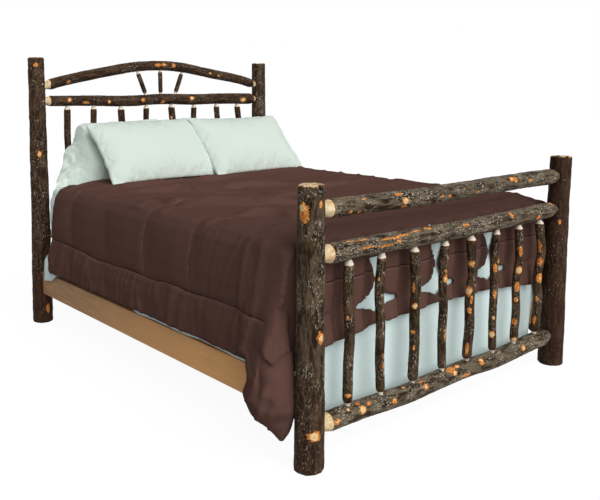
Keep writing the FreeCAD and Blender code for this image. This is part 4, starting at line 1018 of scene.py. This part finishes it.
# The four pillows: each case is two rectangles of striped sateen sewn round the edge and stuffed. Two lean
# in front of the other two, and the rear pair lean on the headboard.
sateen_finish = Finish("mint_sateen")
sateen_place = sateen_finish.place(attribute="cloth")
sateen_stripe = sateen_finish.node("TexWave", ("Vector", sateen_place), ("Scale", 26), ("Distortion", 0.0),
                                   bands_direction="X")
woven(sateen_finish, sateen_place, sateen_finish.step(sateen_stripe, 0.35, 0.65),
      ((207, 219, 209), (215, 227, 217)), 1600, (0.2, 0.0004), Roughness=0.5, Specular_IOR_Level=0.0,
      Sheen_Weight=0.05, Sheen_Roughness=0.35)
pillow_step = 0.009
pillow_frames = 30
seam_draw = 0.014
sewing_nudge = 0.002
gather_height = 0.0018
empty_crumple = 0.027
stuffing = {
    "quality": 6, "mass": 0.2, "tension_stiffness": 25, "compression_stiffness": 25, "shear_stiffness": 8,
    "bending_stiffness": 0.15, "air_damping": 4, "vertex_group_mass": "seam", "pin_stiffness": 1,
    "use_pressure": True, "uniform_pressure_force": 3,
}
# thickness, slack of the case, and lean of the front pair and of the rear pair
front_make = (0.168, 0.035, math.radians(43))
rear_make = (0.140, 0.045, math.radians(24))
lean_plane = math.radians(34)
press_at = np.array((0, 0.915, 0.960))
press_out = np.array((0, math.cos(lean_plane), -math.sin(lean_plane)))
press_ease = 0.003
rest_ease = 0.005
comforter_rest, sheet_rest = 0.8006, 0.7660
comforter_head = 0.874
headboard_face = 1.052


def kept_above(distance, ease):
    """A distance that is pressed up to stay above nothing, softly."""
    return ease * np.logaddexp(0, distance / ease)


def stuffed_case(name, wide, high, thick, slack, seed):
    """A pillow lying flat: two slack panels, held along their seam and blown out by the stuffing."""
    work = bmesh.new()
    bmesh.ops.create_grid(work, x_segments=int(wide / pillow_step), y_segments=int(high / pillow_step),
                          size=0.5)
    copy = bmesh.ops.duplicate(work, geom=work.verts[:] + work.edges[:] + work.faces[:])
    back = [part for part in copy["geom"] if isinstance(part, bmesh.types.BMFace)]
    bmesh.ops.reverse_faces(work, faces=back)
    back_points = {point for face in back for point in face.verts}
    for point in work.verts:
        u, v = 2 * point.co.x, 2 * point.co.y
        rise = max(0.0, (1 - abs(u) ** 2.6) * (1 - abs(v) ** 2.6)) ** 0.42
        point.co = (u * wide / 2 - seam_draw * u ** 3 * (1 - v * v),
                    v * high / 2 - seam_draw * v ** 3 * (1 - u * u),
                    rise * thick / 2 * (-1 if point in back_points else 1))
    bmesh.ops.remove_doubles(work, verts=work.verts, dist=1e-5)
    piece = shaped(name, work)
    places, outward = read_points(piece)
    write_attribute(piece, "cloth", places * (1, 1, 0))
    seam = [point.index for point in piece.data.vertices if abs(point.co.z) < 1e-6]
    nudge = sewing_nudge * smooth_noise(places / 0.04 + 7 * seed, seed=seed)
    nudge[seam] = 0
    write_points(piece, places + outward * nudge[:, None])
    piece.vertex_groups.new(name="seam").add(seam, 1.0, "REPLACE")
    cloth = piece.modifiers.new("stuffing", "CLOTH")
    for name, value in stuffing.items():
        setattr(cloth.settings, name, value)
    cloth.settings.shrink_min = -slack
    cloth.settings.effector_weights.gravity = 0
    cloth.point_cache.frame_start = 1
    cloth.point_cache.frame_end = pillow_frames
    for frame_count in range(1, pillow_frames + 1):
        bpy.context.scene.frame_set(frame_count)
    with_modifiers_applied(piece)
    bpy.context.scene.frame_set(1)
    return piece


def set_pillow(node, wide, high, middle, front, seed, neighbours, droop=0.0, forward=0.0, slump=0.0):
    """Stuffs one pillow, leans it in its place, lets its left end droop, come forward or slump where the
    case hangs empty, and flattens it where it rests."""
    thick, slack, lean = front_make if front else rear_make
    piece = stuffed_case(node + "_finished", wide, high, thick, slack, seed)
    smooth = piece.modifiers.new("smooth", "SUBSURF")
    smooth.levels = smooth.render_levels = 1
    with_modifiers_applied(piece)
    places, outward = read_points(piece)
    u, v = 2 * places[:, 0] / wide, 2 * places[:, 1] / high
    from_low_seam = (1 + v) * high / 2
    gathers = smooth_noise(places[:, 0] / 0.010, v * 2, 0, seed=seed + 40)
    places = places + outward * (gather_height * gathers * np.exp(-from_low_seam / 0.035))[:, None]
    places[:, 2] *= thick / np.ptp(places[:, 2])
    left_end = ease_step(-u, 0.35, 1.0)
    rising = ease_step(v, -1.0, 1.0)
    empty = slump * left_end
    crumple = smooth_noise(u * 8, v * 5 + 2 * u, 0, seed=seed + 50)
    crumple += 0.3 * smooth_noise(u * 17, v * 12, 0, seed=seed + 51)
    places[:, 2] = places[:, 2] * (1 - 0.75 * empty) + empty_crumple * empty * crumple
    tip = slump * ease_step(-u, 0.72, 1.0) * ease_step(v, 0.0, 0.95)
    places[:, :2] += np.column_stack([0.035 * tip, -0.035 * tip])
    places[:, 0] += empty * (0.105 * rising - 0.018 * (1 - rising) + 0.026 * hump(v + 0.2, 0.45))
    places[:, 1] -= 0.075 * empty * ease_step(v, 0.0, 1.0) + droop * left_end * rising
    up = np.array((0, math.sin(lean), math.cos(lean)))
    face = np.array((0, -math.cos(lean), math.sin(lean)))
    placed = np.array(middle) + places[:, :1] * (1, 0, 0) + places[:, 1:2] * up + places[:, 2:] * face
    placed[:, 1] += 0.085 * slump * ease_step(-u, 0.42, 1.0) - forward * left_end
    past = (placed - press_at) @ press_out
    if front:
        placed -= (past + kept_above(-past, press_ease))[:, None] * press_out
        rest = comforter_rest
    else:
        placed += (kept_above(past, press_ease) - past)[:, None] * press_out
        placed[:, 1] = headboard_face - kept_above(headboard_face - placed[:, 1], press_ease)
        rest = np.where(placed[:, 1] < comforter_head, comforter_rest, sheet_rest)
    placed[:, 2] = rest + kept_above(placed[:, 2] - rest, rest_ease)
    write_points(piece, placed)
    for neighbour in neighbours:
        settled_against(piece, neighbour)
    dressed(piece, node, sateen_finish)
    return piece


front_left = set_pillow("pillow_front_left", 0.734, 0.460, (-0.211, 0.812, 0.954), True, 3, [comforter],
                        droop=0.022, forward=0.018)
set_pillow("pillow_front_right", 0.720, 0.460, (0.431, 0.796, 0.954), True, 4, [comforter, front_left],
           forward=0.048)
set_pillow("pillow_back_left", 0.690, 0.420, (-0.392, 0.956, 0.930), False, 5, [comforter], slump=1.0)
set_pillow("pillow_back_right", 0.690, 0.400, (0.350, 0.956, 0.928), False, 6, [comforter])
